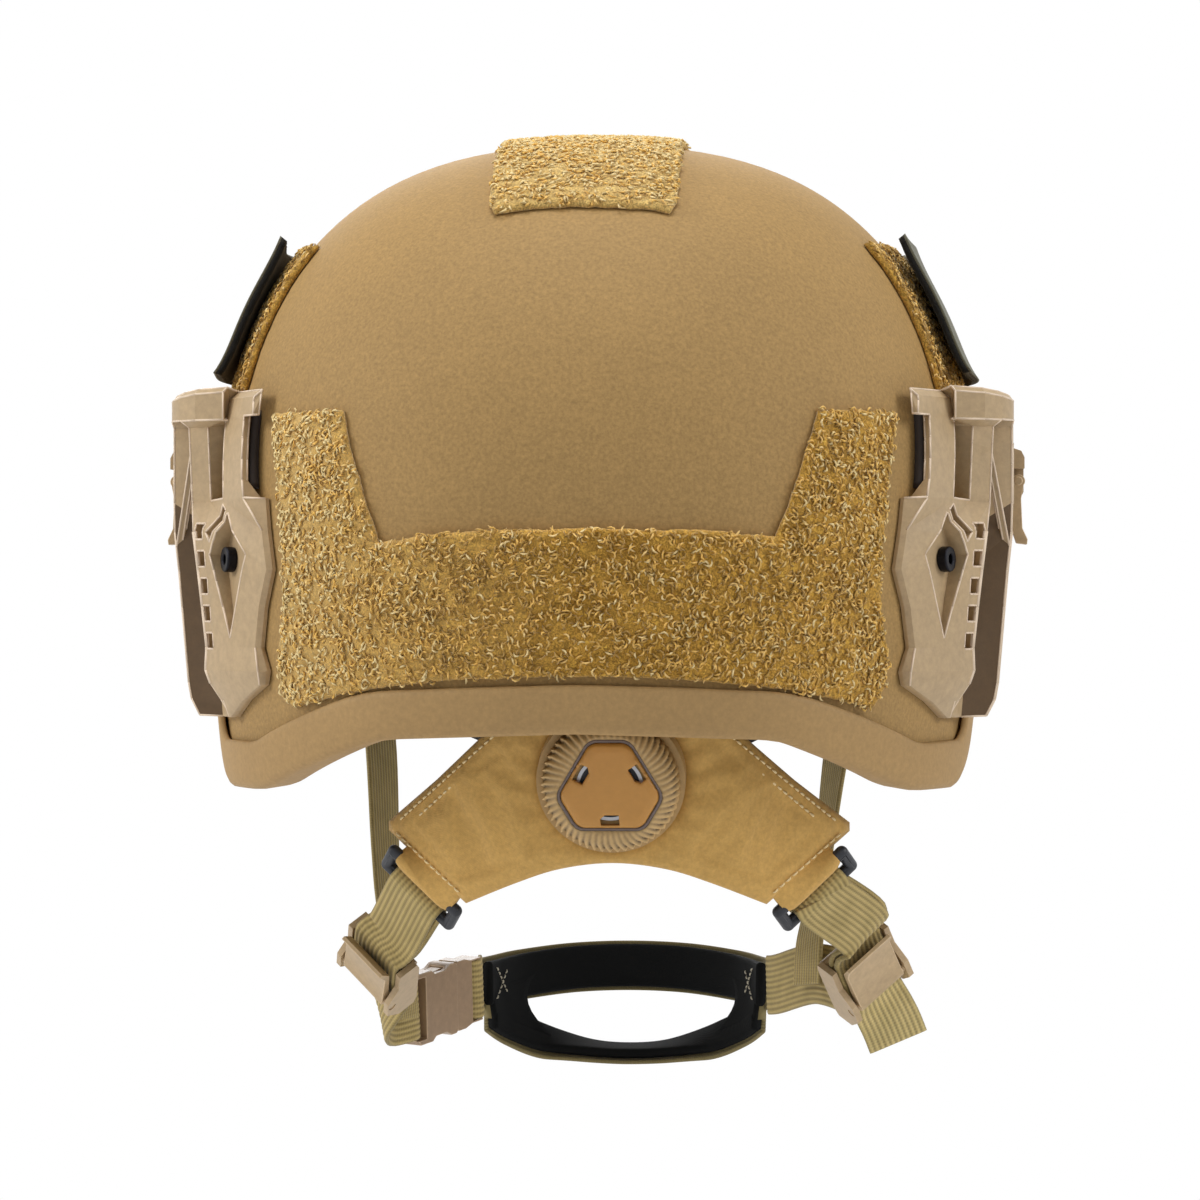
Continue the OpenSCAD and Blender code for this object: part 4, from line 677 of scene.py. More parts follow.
def loop_panels():
    arm_top, band_top = 55.0, 20.0
    outer = [(-40, 44), (-22, 47.5), (0, 45), (18, 46), (36, 48), (58, 52)]
    inner = [(-40, 25.5), (16, 25.5), (58, 35.5)]
    right = [(np.interp(z, *zip(*outer)) * DEGREE, z) for z in np.linspace(-26, arm_top, 12)]
    bottom = [(a * DEGREE, -22 - 9.5 * (a / 44) ** 2) for a in np.linspace(-44, 44, 21)]
    top_x, low_x = (np.interp(z, *zip(*inner)) * DEGREE for z in (arm_top, band_top))
    notch = [(top_x, arm_top), (low_x, band_top - 3.5), (low_x - 22, band_top - 0.6), (0, band_top + 0.4),
             (22 - low_x, band_top - 0.2), (-low_x, band_top - 2), (-top_x, arm_top)]
    left = [(-x, z) for x, z in right[::-1]]
    # The rear's yarn is paler towards both sides and most on the left, as painted light.
    pile_panel("rear_loop_pile", ragged(bottom + right + notch + left),
               lambda p, h: at_angle(p[:, 0] / DEGREE, p[:, 1], h), 21,
               ((-95, -50, 30, 95), (0.3, 0.1, 0.1, 0.75)), REAR_PILE_LIT_LEFT)
    w = 27.5
    crown = [(-w + 2, 97), (-w, 92), (-w, -32), (-w + 3, -38), (w - 3, -38), (w, -32), (w, 92), (w - 2, 97),
             (0, 98)]
    # The crown's bed and yarn are paler, as painted light from above.
    pile_panel("crown_loop_pile", ragged(crown[::-1], 2), lambda p, h: at_top(p[:, 0], p[:, 1], h), 22,
               ((0,), (0.6,)), LIT_PILE)
    front = [(x, z - 0.004 * x * x) for z, end in ((99, 36), (118, -36)) for x in np.linspace(-end, end, 13)]
    pile_panel("front_loop_pile", ragged(front, 3), lambda p, h: at_front(p[:, 0], p[:, 1], h), 23)
    side = [(-56, 63), (56, 63), (50.7, 107), (-50.7, 107)]
    for word, s in SIDES:
        pile_panel(f"side_loop_pile_{word}", ragged(side, 4 + s),
                   lambda p, h: at_side(p[:, 0], p[:, 1], h) * vec(s, 1, 1), 24 + s)


# Copies of the imported solids with softened edges, whose bevels may take a paler look: partly wear, partly
# painted highlight
def welded(node):
    bm = bmesh.new()
    bm.from_mesh(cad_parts[node].data)
    bmesh.ops.remove_doubles(bm, verts=bm.verts, dist=3e-6)
    bmesh.ops.dissolve_limit(bm, angle_limit=math.radians(0.8), verts=bm.verts, edges=bm.edges)
    bmesh.ops.recalc_face_normals(bm, faces=bm.faces)
    return bm


def dress(node, body, look, slot, bevel=0.35, sharp=32, edge=None):
    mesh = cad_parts[node].data.copy()
    bm = welded(node)
    bm.to_mesh(mesh)
    bm.free()
    mesh.materials.clear()
    mesh.materials.append(look)
    mesh.materials.append(edge or look)
    mesh.polygons.foreach_set("use_smooth", [True] * len(mesh.polygons))
    mesh.set_sharp_from_angle(angle=math.radians(sharp))
    obj = shown(node + "_moulded", mesh)
    if bevel:
        soft = obj.modifiers.new("soften", "BEVEL")
        soft.width, soft.segments = bevel * MM, 2
        soft.limit_method, soft.angle_limit = "ANGLE", math.radians(sharp)
        soft.harden_normals = True
        soft.miter_outer = "MITER_ARC"
        # The bevels take the second look: partly wear, partly painted highlight.
        soft.material = 1
        graph = bpy.context.evaluated_depsgraph_get()
        beveled = bpy.data.meshes.new_from_object(obj.evaluated_get(graph))
        obj.modifiers.clear()
        obj.data = beveled
    return settle(obj, body, slot, node)


# Thread: rows of short stitches along lines of points with their outward directions
def stitches(name, lines, slot, pitch=2.7, length=2.1, radius=0.36, look=THREAD):
    points, faces = [], []
    for line, normals in lines:
        run = np.concatenate([[0], np.cumsum(np.linalg.norm(np.diff(line, axis=0), axis=1))])
        for k in range(int((run[-1] - length) / pitch) + 1):
            s = k * pitch + np.array([0, 0.2, 0.5, 0.8, 1]) * length
            p, n = (np.stack([np.interp(s, run, v[:, i]) for i in range(3)], -1) for v in (line, unit(normals)))
            n = unit(n)
            side = unit(np.cross(n, unit(p[-1] - p[0])))
            wide = radius * vec(0.4, 0.9, 1, 0.9, 0.4)[:, None, None]
            high = radius * vec(-0.3, 0.5, 0.7, 0.5, -0.3)[:, None, None]
            turn = (math.pi * np.arange(6) / 3)[None, :, None]
            faces += tube_faces(5, 6, len(points))
            points += list((p[:, None] + side[:, None] * wide * np.cos(turn)
                            + n[:, None] * (high + wide * 0.8 * np.sin(turn))).reshape(-1, 3))
    settle(make(name, points, faces, look), "helmet", slot)


def puffed(obj, held, pressure, most, grow=0.0, frames=20):
    """Blow up a closed cloth that is held at some points, and let no point move by more than most."""
    mesh, scene = obj.data, bpy.context.scene
    rest = np.zeros(3 * len(mesh.vertices))
    mesh.vertices.foreach_get("co", rest)
    obj.vertex_groups.new(name="held").add([int(i) for i in held], 1.0, "REPLACE")
    cloth = obj.modifiers.new("cloth", "CLOTH")
    rules = cloth.settings
    rules.quality, rules.mass = 6, 0.15
    rules.vertex_group_mass = "held"
    rules.use_pressure, rules.uniform_pressure_force = True, pressure
    rules.bending_stiffness, rules.shrink_min = 0.05, -grow
    rules.effector_weights.gravity = 0
    cloth.point_cache.frame_start, cloth.point_cache.frame_end = 1, frames
    for frame_number in range(1, frames + 1):
        scene.frame_set(frame_number)
    swollen = obj.evaluated_get(bpy.context.evaluated_depsgraph_get()).data
    moved = np.zeros(len(rest))
    swollen.vertices.foreach_get("co", moved)
    obj.modifiers.clear()
    obj.vertex_groups.clear()
    step = (moved - rest).reshape(-1, 3)
    size = np.linalg.norm(step, axis=1, keepdims=True)
    step *= np.minimum(1, most * MM / np.maximum(size, 1e-9))
    mesh.vertices.foreach_set("co", (rest.reshape(-1, 3) + step).ravel())
    mesh.update()
    scene.frame_set(1)


# Liner and comfort pads
LINER_OUT = -WALL - 3 * GAP
LINER_IN = LINER_OUT - 14
PAD_OUT = LINER_IN - 3 * GAP
PAD_THICK = 8.0


def liner_piece(node, angles, heights, side=1):
    a, z = np.meshgrid(np.linspace(*angles, 37), np.linspace(*heights, 25))
    edge = np.minimum(np.minimum(a - a.min(), a.max() - a) * DEGREE, np.minimum(z - z.min(), z.max() - z))
    foam = slab(node + "_foam", at_angle(a, z, LINER_OUT + 0.02) * vec(side, 1, 1),
                at_angle(a, z, LINER_IN + 2.2 * bulge(edge, 4) ** 2) * vec(side, 1, 1), FOAM)
    settle(foam, "helmet", "liner_foam", node)


def liners():
    crown = bowl("liner_crown_foam", np.arange(0, 360, 5.0), 108.0, LINER_OUT, LINER_IN, 16, FOAM)
    settle(crown, "helmet", "liner_foam", "liner_crown")
    liner_piece("liner_front", (134, 226), (30, 102))
    liner_piece("liner_rear", (-48, 48), (-15, 102))
    for word, s in SIDES:
        liner_piece(f"liner_{word}", (74, 115), (32, 102), s)


def wall_spot(a, z):
    return lambda u, v, h: at_angle(mix(*a, (1 + u) / 2), mix(*z, (1 + v) / 2), h)


def comfort_pad(node, spot, side, seed):
    s = np.sin(np.linspace(-math.pi / 2, math.pi / 2, 45)) * 0.35 + np.linspace(-1, 1, 45) * 0.65
    u, v = np.meshgrid(s, s)
    uu, vv = u * (1 - 0.12 * v * v), v * (1 - 0.12 * u * u)
    swell = np.sqrt(np.clip(1 - u ** 4, 0, 1) * np.clip(1 - v ** 4, 0, 1))
    out = spot(uu, vv, np.full(u.shape, PAD_OUT))
    near = np.maximum(abs(u), abs(v))
    crease = (0.5 * noise(out, 9, 2, seed) - 0.5 * np.exp(-((near - 0.93) / 0.03) ** 2)) * swell
    slack = 1.4
    inner = spot(uu, vv, PAD_OUT - 1.5 - (PAD_THICK - 1.5 - slack) * swell - crease)
    obj = slab(node + "_knit", out * vec(side, 1, 1), inner * vec(side, 1, 1), PADS)
    settle(obj, "helmet", "pad_black", node)
    held = np.concatenate([np.arange(u.size), u.size + np.flatnonzero(near.ravel() > 0.93)])
    puffed(obj, held, 3.0, 1.8, 0.02)


def pads():
    comfort_pad("pad_crown", lambda u, v, h: at_top(40 * u, 46 * v, h), 1, 1)
    comfort_pad("pad_front", wall_spot((148, 212), (34, 84)), 1, 2)
    comfort_pad("pad_rear", wall_spot((-36, 36), (-8, 60)), 1, 3)
    comfort_pad("pad_left", wall_spot((78, 112), (38, 86)), 1, 4)
    comfort_pad("pad_right", wall_spot((78, 112), (38, 86)), -1, 5)


# Nape pad and dial
NAPE = vec(-9, 109, -52)
LEAN, CURVE = 0.28, 0.0078
TILT = math.atan(LEAN)
NAPE_TOP = [(0, -25), (24, -27), (38.5, -39.6), (54, -53.5), (70.4, -66.8)]
NAPE_LOW = [(0, -77.5), (16, -79.4), (30, -84), (45.6, -90.5), (58, -80), (70.4, -69.4)]


def nape_face(x, z, h=0.0):
    x, z, h = spread(x, z, h)
    n = unit(xyz(2 * CURVE * x, 1, -LEAN))
    return xyz(NAPE[0] + x, NAPE[1] - CURVE * x * x + LEAN * (z - NAPE[2]), z) + h[..., None] * n


def at_dial(x, y, z):
    turn = -math.pi / 2 - TILT
    return NAPE + xyz(x, y * math.cos(turn) - z * math.sin(turn), y * math.sin(turn) + z * math.cos(turn))


def dial_ring(radius, turn, height):
    return at_dial(radius * np.cos(turn), radius * np.sin(turn), height)


def nape_pad():
    top = [(-x, z) for x, z in NAPE_TOP[:0:-1]] + NAPE_TOP
    arc = spline([(-x, z) for x, z in NAPE_LOW[3:0:-1]] + NAPE_LOW[:4], 6)
    low = NAPE_LOW[:3:-1] + arc[::-1].tolist() + [(-x, z) for x, z in NAPE_LOW[4:]]
    ring = np.radians(np.arange(0, 360, 6.0))
    hole = np.stack([21.95 * np.cos(ring), -52 + 21.95 * math.cos(TILT) * np.sin(ring)], -1)
    flat, faces, edge = filled(spaced(top + low, 1.6), [hole], 1.7)
    x, z = flat.T
    roll = 1.7 * bulge(edge, 3.2) ** 2
    seam = 0.45 * np.exp(-((edge - 3.0) / 0.9) ** 2)
    radial = np.hypot(x, (z + 52) / math.cos(TILT))
    pucker = 0.35 * np.exp(-((radial - 25) / 3.5) ** 2) * np.sin(np.arctan2(z + 52, x) * 22)
    cloth = 0.5 * noise(xyz(x, z, 4.0), 22, 2, 1) * np.clip(edge / 8, 0, 1) + pucker * np.clip(edge / 3, 0, 1)
    depth = 9 * (0.4 + 0.6 * np.clip(edge / 9, 0, 1) ** 0.7)
    obj = two_sided("nape_pad_cloth", flat, faces, nape_face(x, z, -roll - seam + cloth),
                    nape_face(x, z, -depth + roll * 0.6), NAPE_CLOTH)
    settle(obj, "helmet", "nape_tan", "nape_pad")
    puffed(obj, np.concatenate([np.flatnonzero(edge < 3.6), len(flat) + np.arange(len(flat))]), 3.0, 1.6, 0.025)
    lines = []
    for s in (-1, 1):
        for ax, az, bx, bz in ((31, -36.6, 66.4, -66.9), (43, -50.5, 60, -65.4), (66.4, -69.6, 46.3, -86.9)):
            place = mix(s * ax, s * bx, np.linspace(0, 1, 20)), mix(az, bz, np.linspace(0, 1, 20))
            lines.append((nape_face(*place, 0.05), nape_face(*place, 1.0) - nape_face(*place)))
    stitches("nape_pad_thread", lines, "nape_tan")


KNOB_BACK, KNOB_HEIGHT = 3.4, 7.0
CAP_CORNERS = [12, 48, 132, 168, 252, 288]
CAP_SLOTS = [90, 210, 330]
CAP_SLOT = [(7.6, -1.5), (8.9, -2.9), (10.9, -2.6), (10.9, 2.8), (7.6, 2.6)]


def turned(points, degrees):
    c, s = math.cos(math.radians(degrees)), math.sin(math.radians(degrees))
    return [(x * c - y * s, x * s + y * c) for x, y in points]


def cap_outline(far, corner, step):
    ring = np.radians(np.arange(0, 360, 6))
    points = []
    for a in CAP_CORNERS:
        c = (far - corner) * vec(math.cos(math.radians(a)), math.sin(math.radians(a)))
        points += [c + corner * vec(math.cos(t), math.sin(t)) for t in ring]
    return spaced([points[i] for i in convex_hull_2d([Vector(p) for p in points])], step)


def knob():
    """Slanted teeth round the rim, running out towards the cap's border."""
    well = cap_outline(15.6, 4.6, 0.25)
    polar = np.degrees(np.arctan2(well[:, 1], well[:, 0])) % 360
    order = np.argsort(polar)
    teeth_round, n = 56, 448
    a = np.arange(n) / n * 2 * math.pi
    inner = np.interp(np.degrees(a), polar[order], np.hypot(well[:, 0], well[:, 1])[order], period=360)
    # Radius, or share of the way out from the cap, height, depth of the teeth, and which way they are cut
    rows = [(17.4, 0.1, 0, 0, 0), (19.7, 0.1, 0, 1, 0), (20.5, 0.7, 1.7, 1, 0), (20.5, 2.2, 1.8, 1, 0),
            (20.5, 3.6, 1.8, 1, 0), (20.1, 4.3, 1.7, 0.8, 0.5), (19.2, 4.9, 1.4, 0.4, 0.9),
            (18.0, 5.7, 1.0, 0, 1), (16.9, 6.45, 0.7, 0, 1), (0.5, 6.8, 0.5, 0, 1), (0, 6.95, 0.08, 0, 1),
            (0, 5.4, 0, 0, 1)]
    rings, depth = [], []
    for k, (r, z, cut, out, up) in enumerate(rows):
        radius = r if r > 1 else mix(inner, 16.9, r)
        tooth = np.abs(2 * ((a * teeth_round / (2 * math.pi) + 0.16 * k) % 1) - 1)
        # The share of the tooth's depth, which the knob's look turns into painted shade in the roots and
        # painted highlight on the tips.
        depth.append(0.45 + (tooth - 0.45) * min(1, cut / 1.4))
        cut = cut * tooth ** 0.8
        rings.append(dial_ring(radius - cut * out, a, KNOB_BACK + z - cut * up))
    last, top = (len(rows) - 1) * n, len(rows) * n
    points = np.concatenate(rings + [[at_dial(0, 0, KNOB_BACK + 4.6), at_dial(0, 0, KNOB_BACK + 0.1)]])
    faces = grid_faces(len(rows), n, True)
    faces += [[last + j, last + (j + 1) % n, top] for j in range(n)]
    faces += [[(j + 1) % n, j, top + 1] for j in range(n)]
    depth = np.concatenate(depth + [[0.45, 0.45]])
    obj = make("dial_knob_ring", points, faces, TEETH_SHADE_AND_HIGHLIGHT, uv=np.stack([depth, depth], -1))
    settle(obj, "dial", "dial_tan", "dial_knob")


def ring_on_dial(name, inner, outer, low, high, look, slot):
    a = 2 * math.pi * np.arange(72) / 72
    corners = (inner, low), (outer, low), (outer, high), (inner, high)
    rings = [dial_ring(r, a, KNOB_BACK + z) for r, z in corners]
    settle(make(name, rings, torus_faces(4, len(a)), look, False), "dial", slot)


def dial_cap():
    top = KNOB_BACK + KNOB_HEIGHT - 1.35 + 2.2
    outline = cap_outline(14.4, 4, 0.6)
    flat, faces, edge = filled(outline, [spaced(turned(CAP_SLOT, a), 0.5) for a in CAP_SLOTS], 0.7, 0.2)
    rim = inside_outline(flat, outline)[1]
    fall = 0.5 * bulge(rim, 2.3) + 0.5 * bulge(rim, 0.6) ** 2 + 0.15 * bulge(edge, 0.4)
    face = two_sided("dial_cap_face", flat, faces, at_dial(*flat.T, top + 0.15 - fall),
                     at_dial(*flat.T, top - 2.1), CAP)
    settle(face, "dial", "cap_orange", "dial_cap")
    flat, faces, edge = filled(cap_outline(15.55, 4.6, 0.6), [cap_outline(14.55, 4.1, 0.6)], 0.6, 0.2)
    rise = KNOB_BACK + KNOB_HEIGHT + 0.1 - 0.35 * bulge(edge, 0.35)
    border = two_sided("dial_cap_border", flat, faces, at_dial(*flat.T, rise),
                       at_dial(*flat.T, KNOB_BACK + 5.2), RIM)
    settle(border, "dial", "dial_tan")
    ring_on_dial("dial_cap_seat", 4.6, 13.2, 4.75, 5.2, DARK, "black_plastic")
    ring_on_dial("dial_cap_washer", 8.9, 9.9, 5.2, 5.6, STEEL, "steel")


# Straps: bands through stations of a centre, a direction across and, if needed, a share of the width
def spline(keys, per):
    keys = np.asarray(keys, float)
    padded = np.concatenate([keys[:1], keys, keys[-1:]])
    a, b, c, d = (padded[i:len(keys) - 1 + i, None] for i in range(4))
    t = (np.arange(per) / per)[None, :, None]
    curve = 0.5 * (2 * b + (c - a) * t + (2 * a - 5 * b + 4 * c - d) * t * t + (3 * b - a - 3 * c + d) * t ** 3)
    return np.concatenate([curve.reshape(-1, keys.shape[1]), keys[-1:]])


def band(name, parts, look, width=WEB_WIDTH, thick=WEB_THICK, rib=0.15, cords=11, soft=0.35,
         offset=0.0, crown=0.0):
    points, faces, uv, start = [], [], [], 0
    s = np.linspace(-1, 1, cords * 6 + 1)
    high = thick / 2 - soft * np.abs(s) ** 14 + rib * (np.cos(s * cords * math.pi) - 1) * 0.5
    section = np.concatenate([np.stack([s, high + crown * (1 - s * s)], -1), np.stack([s, -high], -1)[::-1]])
    for stations in parts:
        path, sides = (spline([station[i] for station in stations], 8) for i in (0, 1))
        share = spline([[1.0, *station[2:]][-1:] for station in stations], 8)
        along = unit(np.concatenate([path[1:2] - path[:1], path[2:] - path[:-2], path[-1:] - path[-2:-1]]))
        across = unit(sides - (sides * along).sum(1, keepdims=True) * along)
        up = np.cross(across, along)
        run = np.concatenate([[0], np.cumsum(np.linalg.norm(np.diff(path, axis=0), axis=1))])
        centre = path + (offset + 0.1 * noise(path, 14, 1, 1))[:, None] * up
        points.append(centre[:, None] + section[:, :1] * (across * width * share / 2)[:, None]
                      + section[:, 1:] * up[:, None])
        uv.append(np.stack(np.broadcast_arrays(run[:, None], section[:, 0] * width / 2), -1))
        faces += tube_faces(len(path), len(section), start)
        start += len(path) * len(section)
    return make(name, np.concatenate([p.reshape(-1, 3) for p in points]), faces, look,
                uv=np.concatenate([p.reshape(-1, 2) for p in uv]))


def strap(node, *parts, look=WEB, slot="webbing", **sizes):
    return settle(band(node + "_web", parts, look, **sizes), "helmet", slot, node)


# Rings below the nape pad with their directions, and adjusters with their origin, length and width
RING_HALF, HEM_HALF = 4.2, 11.5
RING, SLANT, FALL = vec(58.8, 70, -86), unit([-0.72, 0.14, -0.68]), unit([0.32, -0.8, -0.49])
LOCKS = {"left": (vec(66, 36, -112), unit([0.12, -0.86, -0.5]), unit([-0.66, 0.2, -0.7])),
         "right": (vec(-83, 30, -114), unit([-0.25, -0.72, -0.64]), unit([-0.66, -0.2, 0.7]))}
LAYER = WEB_THICK / 2 + GAP


def hem(word, s):
    """The pad's lower edge goes round the ring's upper bar as a sewn tunnel."""
    place = vec(s, 1, 1)
    ring, slanted, falling = RING * place + vec(NAPE[0], 0, 0), SLANT * place, FALL * place
    a = np.arange(28)[:, None] / 28 * 2 * math.pi
    rings = []
    for u in np.sin(np.linspace(-math.pi / 2, math.pi / 2, 15)):
        bar = ring - RING_HALF * falling + u * HEM_HALF * slanted
        t = (1 + u) / 2
        reach = nape_face(s * mix(67.5, 48.2, t), mix(-70.0, -86.4, t), -2.3) - bar
        reach = reach - (reach @ slanted) * slanted
        e = unit(reach)
        wide = math.sqrt(max(1 - u ** 8, 0.3)) * np.where(np.cos(a) > 0, 2.0, 2.75)
        rings.append(bar + np.where(np.cos(a) > 0, reach, 0)
                     + wide * (np.cos(a) * e + np.sin(a) * np.cross(slanted, e)))
    tunnel = make(f"nape_pad_hem_{word}", rings, tube_faces(len(rings), len(a)), NAPE_CLOTH)
    settle(tunnel, "helmet", "nape_tan")


def rear_strap(word, s, hang):
    """From the adjuster round the ring's lower bar and back."""
    place = vec(s, 1, 1)
    slanted, falling = s * SLANT * place, FALL * place
    o, along, across = LOCKS[word]
    bar = RING * place + vec(NAPE[0], 0, 0) + RING_HALF * falling
    t, e = np.cross(slanted, falling), np.cross(across, along)
    turn = 1.9 + LAYER
    middle, half = mix(o, bar, 0.5), mix(across, slanted, 0.5)
    strap(f"rear_strap_{word}", [
        (o + 7 * along - LAYER * e, across), (o - 13.8 * along - LAYER * e, across),
        (middle - 1.6 * t + 0.8 * hang, half), (bar + 2 * falling - turn * t, slanted),
        (bar - turn * 0.75 * (falling + t), slanted), (bar - turn * 1.1 * falling, slanted),
        (bar - turn * 0.75 * (falling - t), slanted), (bar + 2 * falling + turn * t, slanted),
        (middle + 1.8 * t + hang, half), (o - 13.8 * along + LAYER * e, across),
        (o + 7 * along + LAYER * e, across)])


def lock_spot(word, reach, out):
    o, along, across = LOCKS[word]
    v = unit(across - (across @ along) * along)
    return o + reach * along + out * np.cross(along, v), across


# The buckle's start, and its directions along and outwards
BUCKLE = vec(62, -13, -129.5)
BUCKLE_ALONG = unit(vec(42.5, -49.5, -124.5) - BUCKLE)
BUCKLE_UP = vec(0, 0.1, 1)
BUCKLE_OUT = np.cross(BUCKLE_ALONG, unit(BUCKLE_UP - (BUCKLE_UP @ BUCKLE_ALONG) * BUCKLE_ALONG))


def buckle_spot(reach, out):
    return BUCKLE + reach * BUCKLE_ALONG + out * BUCKLE_OUT, (-0.05, -0.1, -1)


# The bolt and eyelet that hold a front strap inside the shell, with the bolt's directions out and down
EYELET_OUT, EYELET_THICK = -WALL - 2.2, 1.6
BOLT = at_side(-84.0, 40.0)
BOLT_OUT = outward(BOLT)
BOLT_DOWN = unit(BOLT_OUT * BOLT_OUT[2] - vec(0, 0, 1))


def straps():
    for word, s in SIDES:
        hem(word, s)
    rear_strap("left", 1, vec(1, 0, -1))
    rear_strap("right", -1, vec(-7, 0, 2))
    # The tail takes the lighter copy of the webbing: painted light.
    strap("strap_tail", [lock_spot("right", 7.6, LAYER), lock_spot("right", 13.5, LAYER),
                         ((-90.6, 19.4, -130), (-0.74, -0.1, 0.64)),
                         ((-93, 18.5, -136), (-0.74, -0.1, 0.64))], look=LIT_WEB)
    drop = -3 * LAYER - 3.5
    strap("cheek_strap_left", [lock_spot("left", 4, drop), lock_spot("left", 14, drop),
                               ((68, 8, -126.5), (-0.3, 0.15, -0.95)),
                               (buckle_spot(-9, 0.6)[0], (-0.1, -0.1, -1)), buckle_spot(0.5, 2.6),
                               buckle_spot(3.6, 1.2), buckle_spot(4, -1.6)])
    strap("cheek_strap_right", [lock_spot("right", 4, drop), lock_spot("right", 15, drop - 0.8),
                                ((-78, 3, -119), (-0.2, -0.15, 0.95)), ((-67, -20, -118), (-0.05, 0, 1)),
                                ((-55, -44, -123), (0, 0, 1)), ((-51.7, -52, -124), (0, 0, 1))])
    under = EYELET_OUT - EYELET_THICK - GAP - WEB_THICK / 2
    side = np.cross(BOLT_OUT, BOLT_DOWN)
    first = [(BOLT + 9.5 * BOLT_DOWN + (under - 0.1) * BOLT_OUT, side),
             (BOLT + 20 * BOLT_DOWN + (under - 1.9) * BOLT_OUT, side), ((78.6, -60.5, -18), (0.44, 0.88, 0.15))]
    left = [((73.5, -50, -46.7), (0.42, 0.88, 0.2)), ((69.3, -28, -92), (0.34, 0.88, 0.35)),
            ((62.3, -1, -116), (0.26, 0.9, 0.2)), ((60.2, 2, -131), (0.26, 0.93, 0.1))]
    right = [((73.8, -50, -46.7), (0.42, 0.88, 0.2)), ((69.3, -34, -82), (0.3, 0.88, 0.35)),
             ((65.4, -18, -106), (0.42, 0.88, 0.2)), ((64.6, -15, -121), (0.43, 0.88, 0.1))]
    strap("front_strap_left", first + left)
    strap("front_strap_right", [(mirrored(p), -mirrored(a)) for p, a in first + right])


# Chin cup: half of each band with its share of the width, mirrored about the middle
CUP_MIDDLE = vec(-5, 0, 0)
CUP_UPPER = [((45, -54, -124), 1), ((42, -66, -124), 1), ((34, -81, -123), 1), ((18, -93, -121.5), 1)]
CUP_LOWER = [((43.5, -57, -135.6), 0.5), ((38, -66, -139), 0.75), ((27, -75.5, -144), 1),
             ((13, -78.5, -147.5), 1)]


def cup_line(half, last, sides):
    left, right = ([(CUP_MIDDLE + vec(s, 1, 1) * p, side, share) for (p, share), side in zip(half, sides)]
                   for s in (1, -1))
    return left + [(last, sides[4], 1)] + right[::-1]


def cup_ends():
    """Sheets that join the two bands at either end, in the lining's and the cover's cloth."""
    v = np.linspace(0, 1, 9)[None, :]
    high, low = (spline([p for p, _ in half], 20) for half in (CUP_UPPER, CUP_LOWER))
    keys = np.arange(len(high)) / 20
    for word, s in SIDES:
        t = np.linspace(0, 1, 13)[:, None] * (2.05 - 0.5 * (1 - (2 * v - 1) ** 2) + 0.15 * s)
        edges = [np.stack([np.interp(t, keys, line[:, i]) for i in range(3)], -1) for line in (high, low)]
        sheet = mix(*edges, v[..., None])
        normal = unit(np.cross(np.gradient(sheet, axis=0), np.gradient(sheet, axis=1)))
        normal *= np.where(normal[..., :1] > 0, -1, 1)
        for part, look, near, far, slot in (("lining", LINING, 2.2, 0.5, "pad_black"),
                                            ("cover", OLIVE, 0.5, -2.2, "webbing")):
            top, base = (CUP_MIDDLE + (sheet + h * normal) * vec(s, 1, 1) for h in (near, far))
            settle(slab(f"chin_cup_{part}_end_{word}", top, base, look), "helmet", slot)


def chin_cup():
    lines = [cup_line(CUP_UPPER, (-5, -97, -121), [(0, -0.1, 1)] * 5),
             cup_line(CUP_LOWER, (-5, -79.5, -148.5),
                      [(0, -0.4, 0.9), (0, -0.7, 0.7), (0, -0.9, 0.4), (0, -1, 0.15), (0, -1, 0.1)])]
    lining = strap("chin_cup_lining", *lines, look=LINING, slot="pad_black", width=14, thick=3.0, rib=0.0,
                   cords=5, soft=0.8, offset=-1.0, crown=0.5)
    cover = band("chin_cup_cover_web", lines, OLIVE, 16.4, 1.7, rib=0.05, cords=8, offset=1.65)
    settle(cover, "helmet", "webbing", "chin_cup_cover")
    tab = [buckle_spot(35.4, -1.6), buckle_spot(35.5, 1.4), buckle_spot(39, 3),
           ((41.7, -53, -124), (0, 0, -1))]
    settle(band("chin_cup_tab_web", [tab], WEB), "helmet", "webbing")
    cup_ends()
    crosses = []
    for s in (1, -1):
        inward = vec(-s * 0.93, 0.37, 0)
        for rise in (-5, 5):
            ends = vec(-5 + s * 43.5, -56.5, -124 + rise), vec(-5 + s * 40.6, -68.5, -124 - rise)
            line = mix(*ends, np.linspace(0, 1, 8)[:, None]) + 2.35 * inward
            crosses.append((line, np.broadcast_to(inward, line.shape)))
    stitches("chin_cup_thread", crosses, "pad_black", 2.4, 1.7, 0.3, PALE_THREAD)


# Side covers, rails and the other moulded pieces
def side_covers():
    y, z = np.meshgrid(np.linspace(50, -50, 61), np.linspace(66, 104, 27))
    base = LOOP + GAP + (1.2 + 3 * (np.abs(y) / 50) ** 4 + 2.5 * (np.abs(z - 85) / 20) ** 4) - 0.9
    y = y * (1 - (z - 66) * 0.0024)
    rough = 0.18 * noise(at_side(y, z, base), 1.6, 2, 8)
    for word, s in SIDES:
        cloth_out, cloth_in, hooks_out, hooks_in = (at_side(y, z, base + h) * vec(s, 1, 1)
                                                    for h in (2.6, 1.88, 1.9, rough))
        settle(slab(f"side_cover_hooks_{word}", hooks_out, hooks_in, HOOKS), "helmet", "cover_olive")
        cloth = slab(f"side_cover_cloth_{word}", cloth_out, cloth_in, COVER)
        settle(cloth, "helmet", "cover_olive", f"side_cover_{word}")


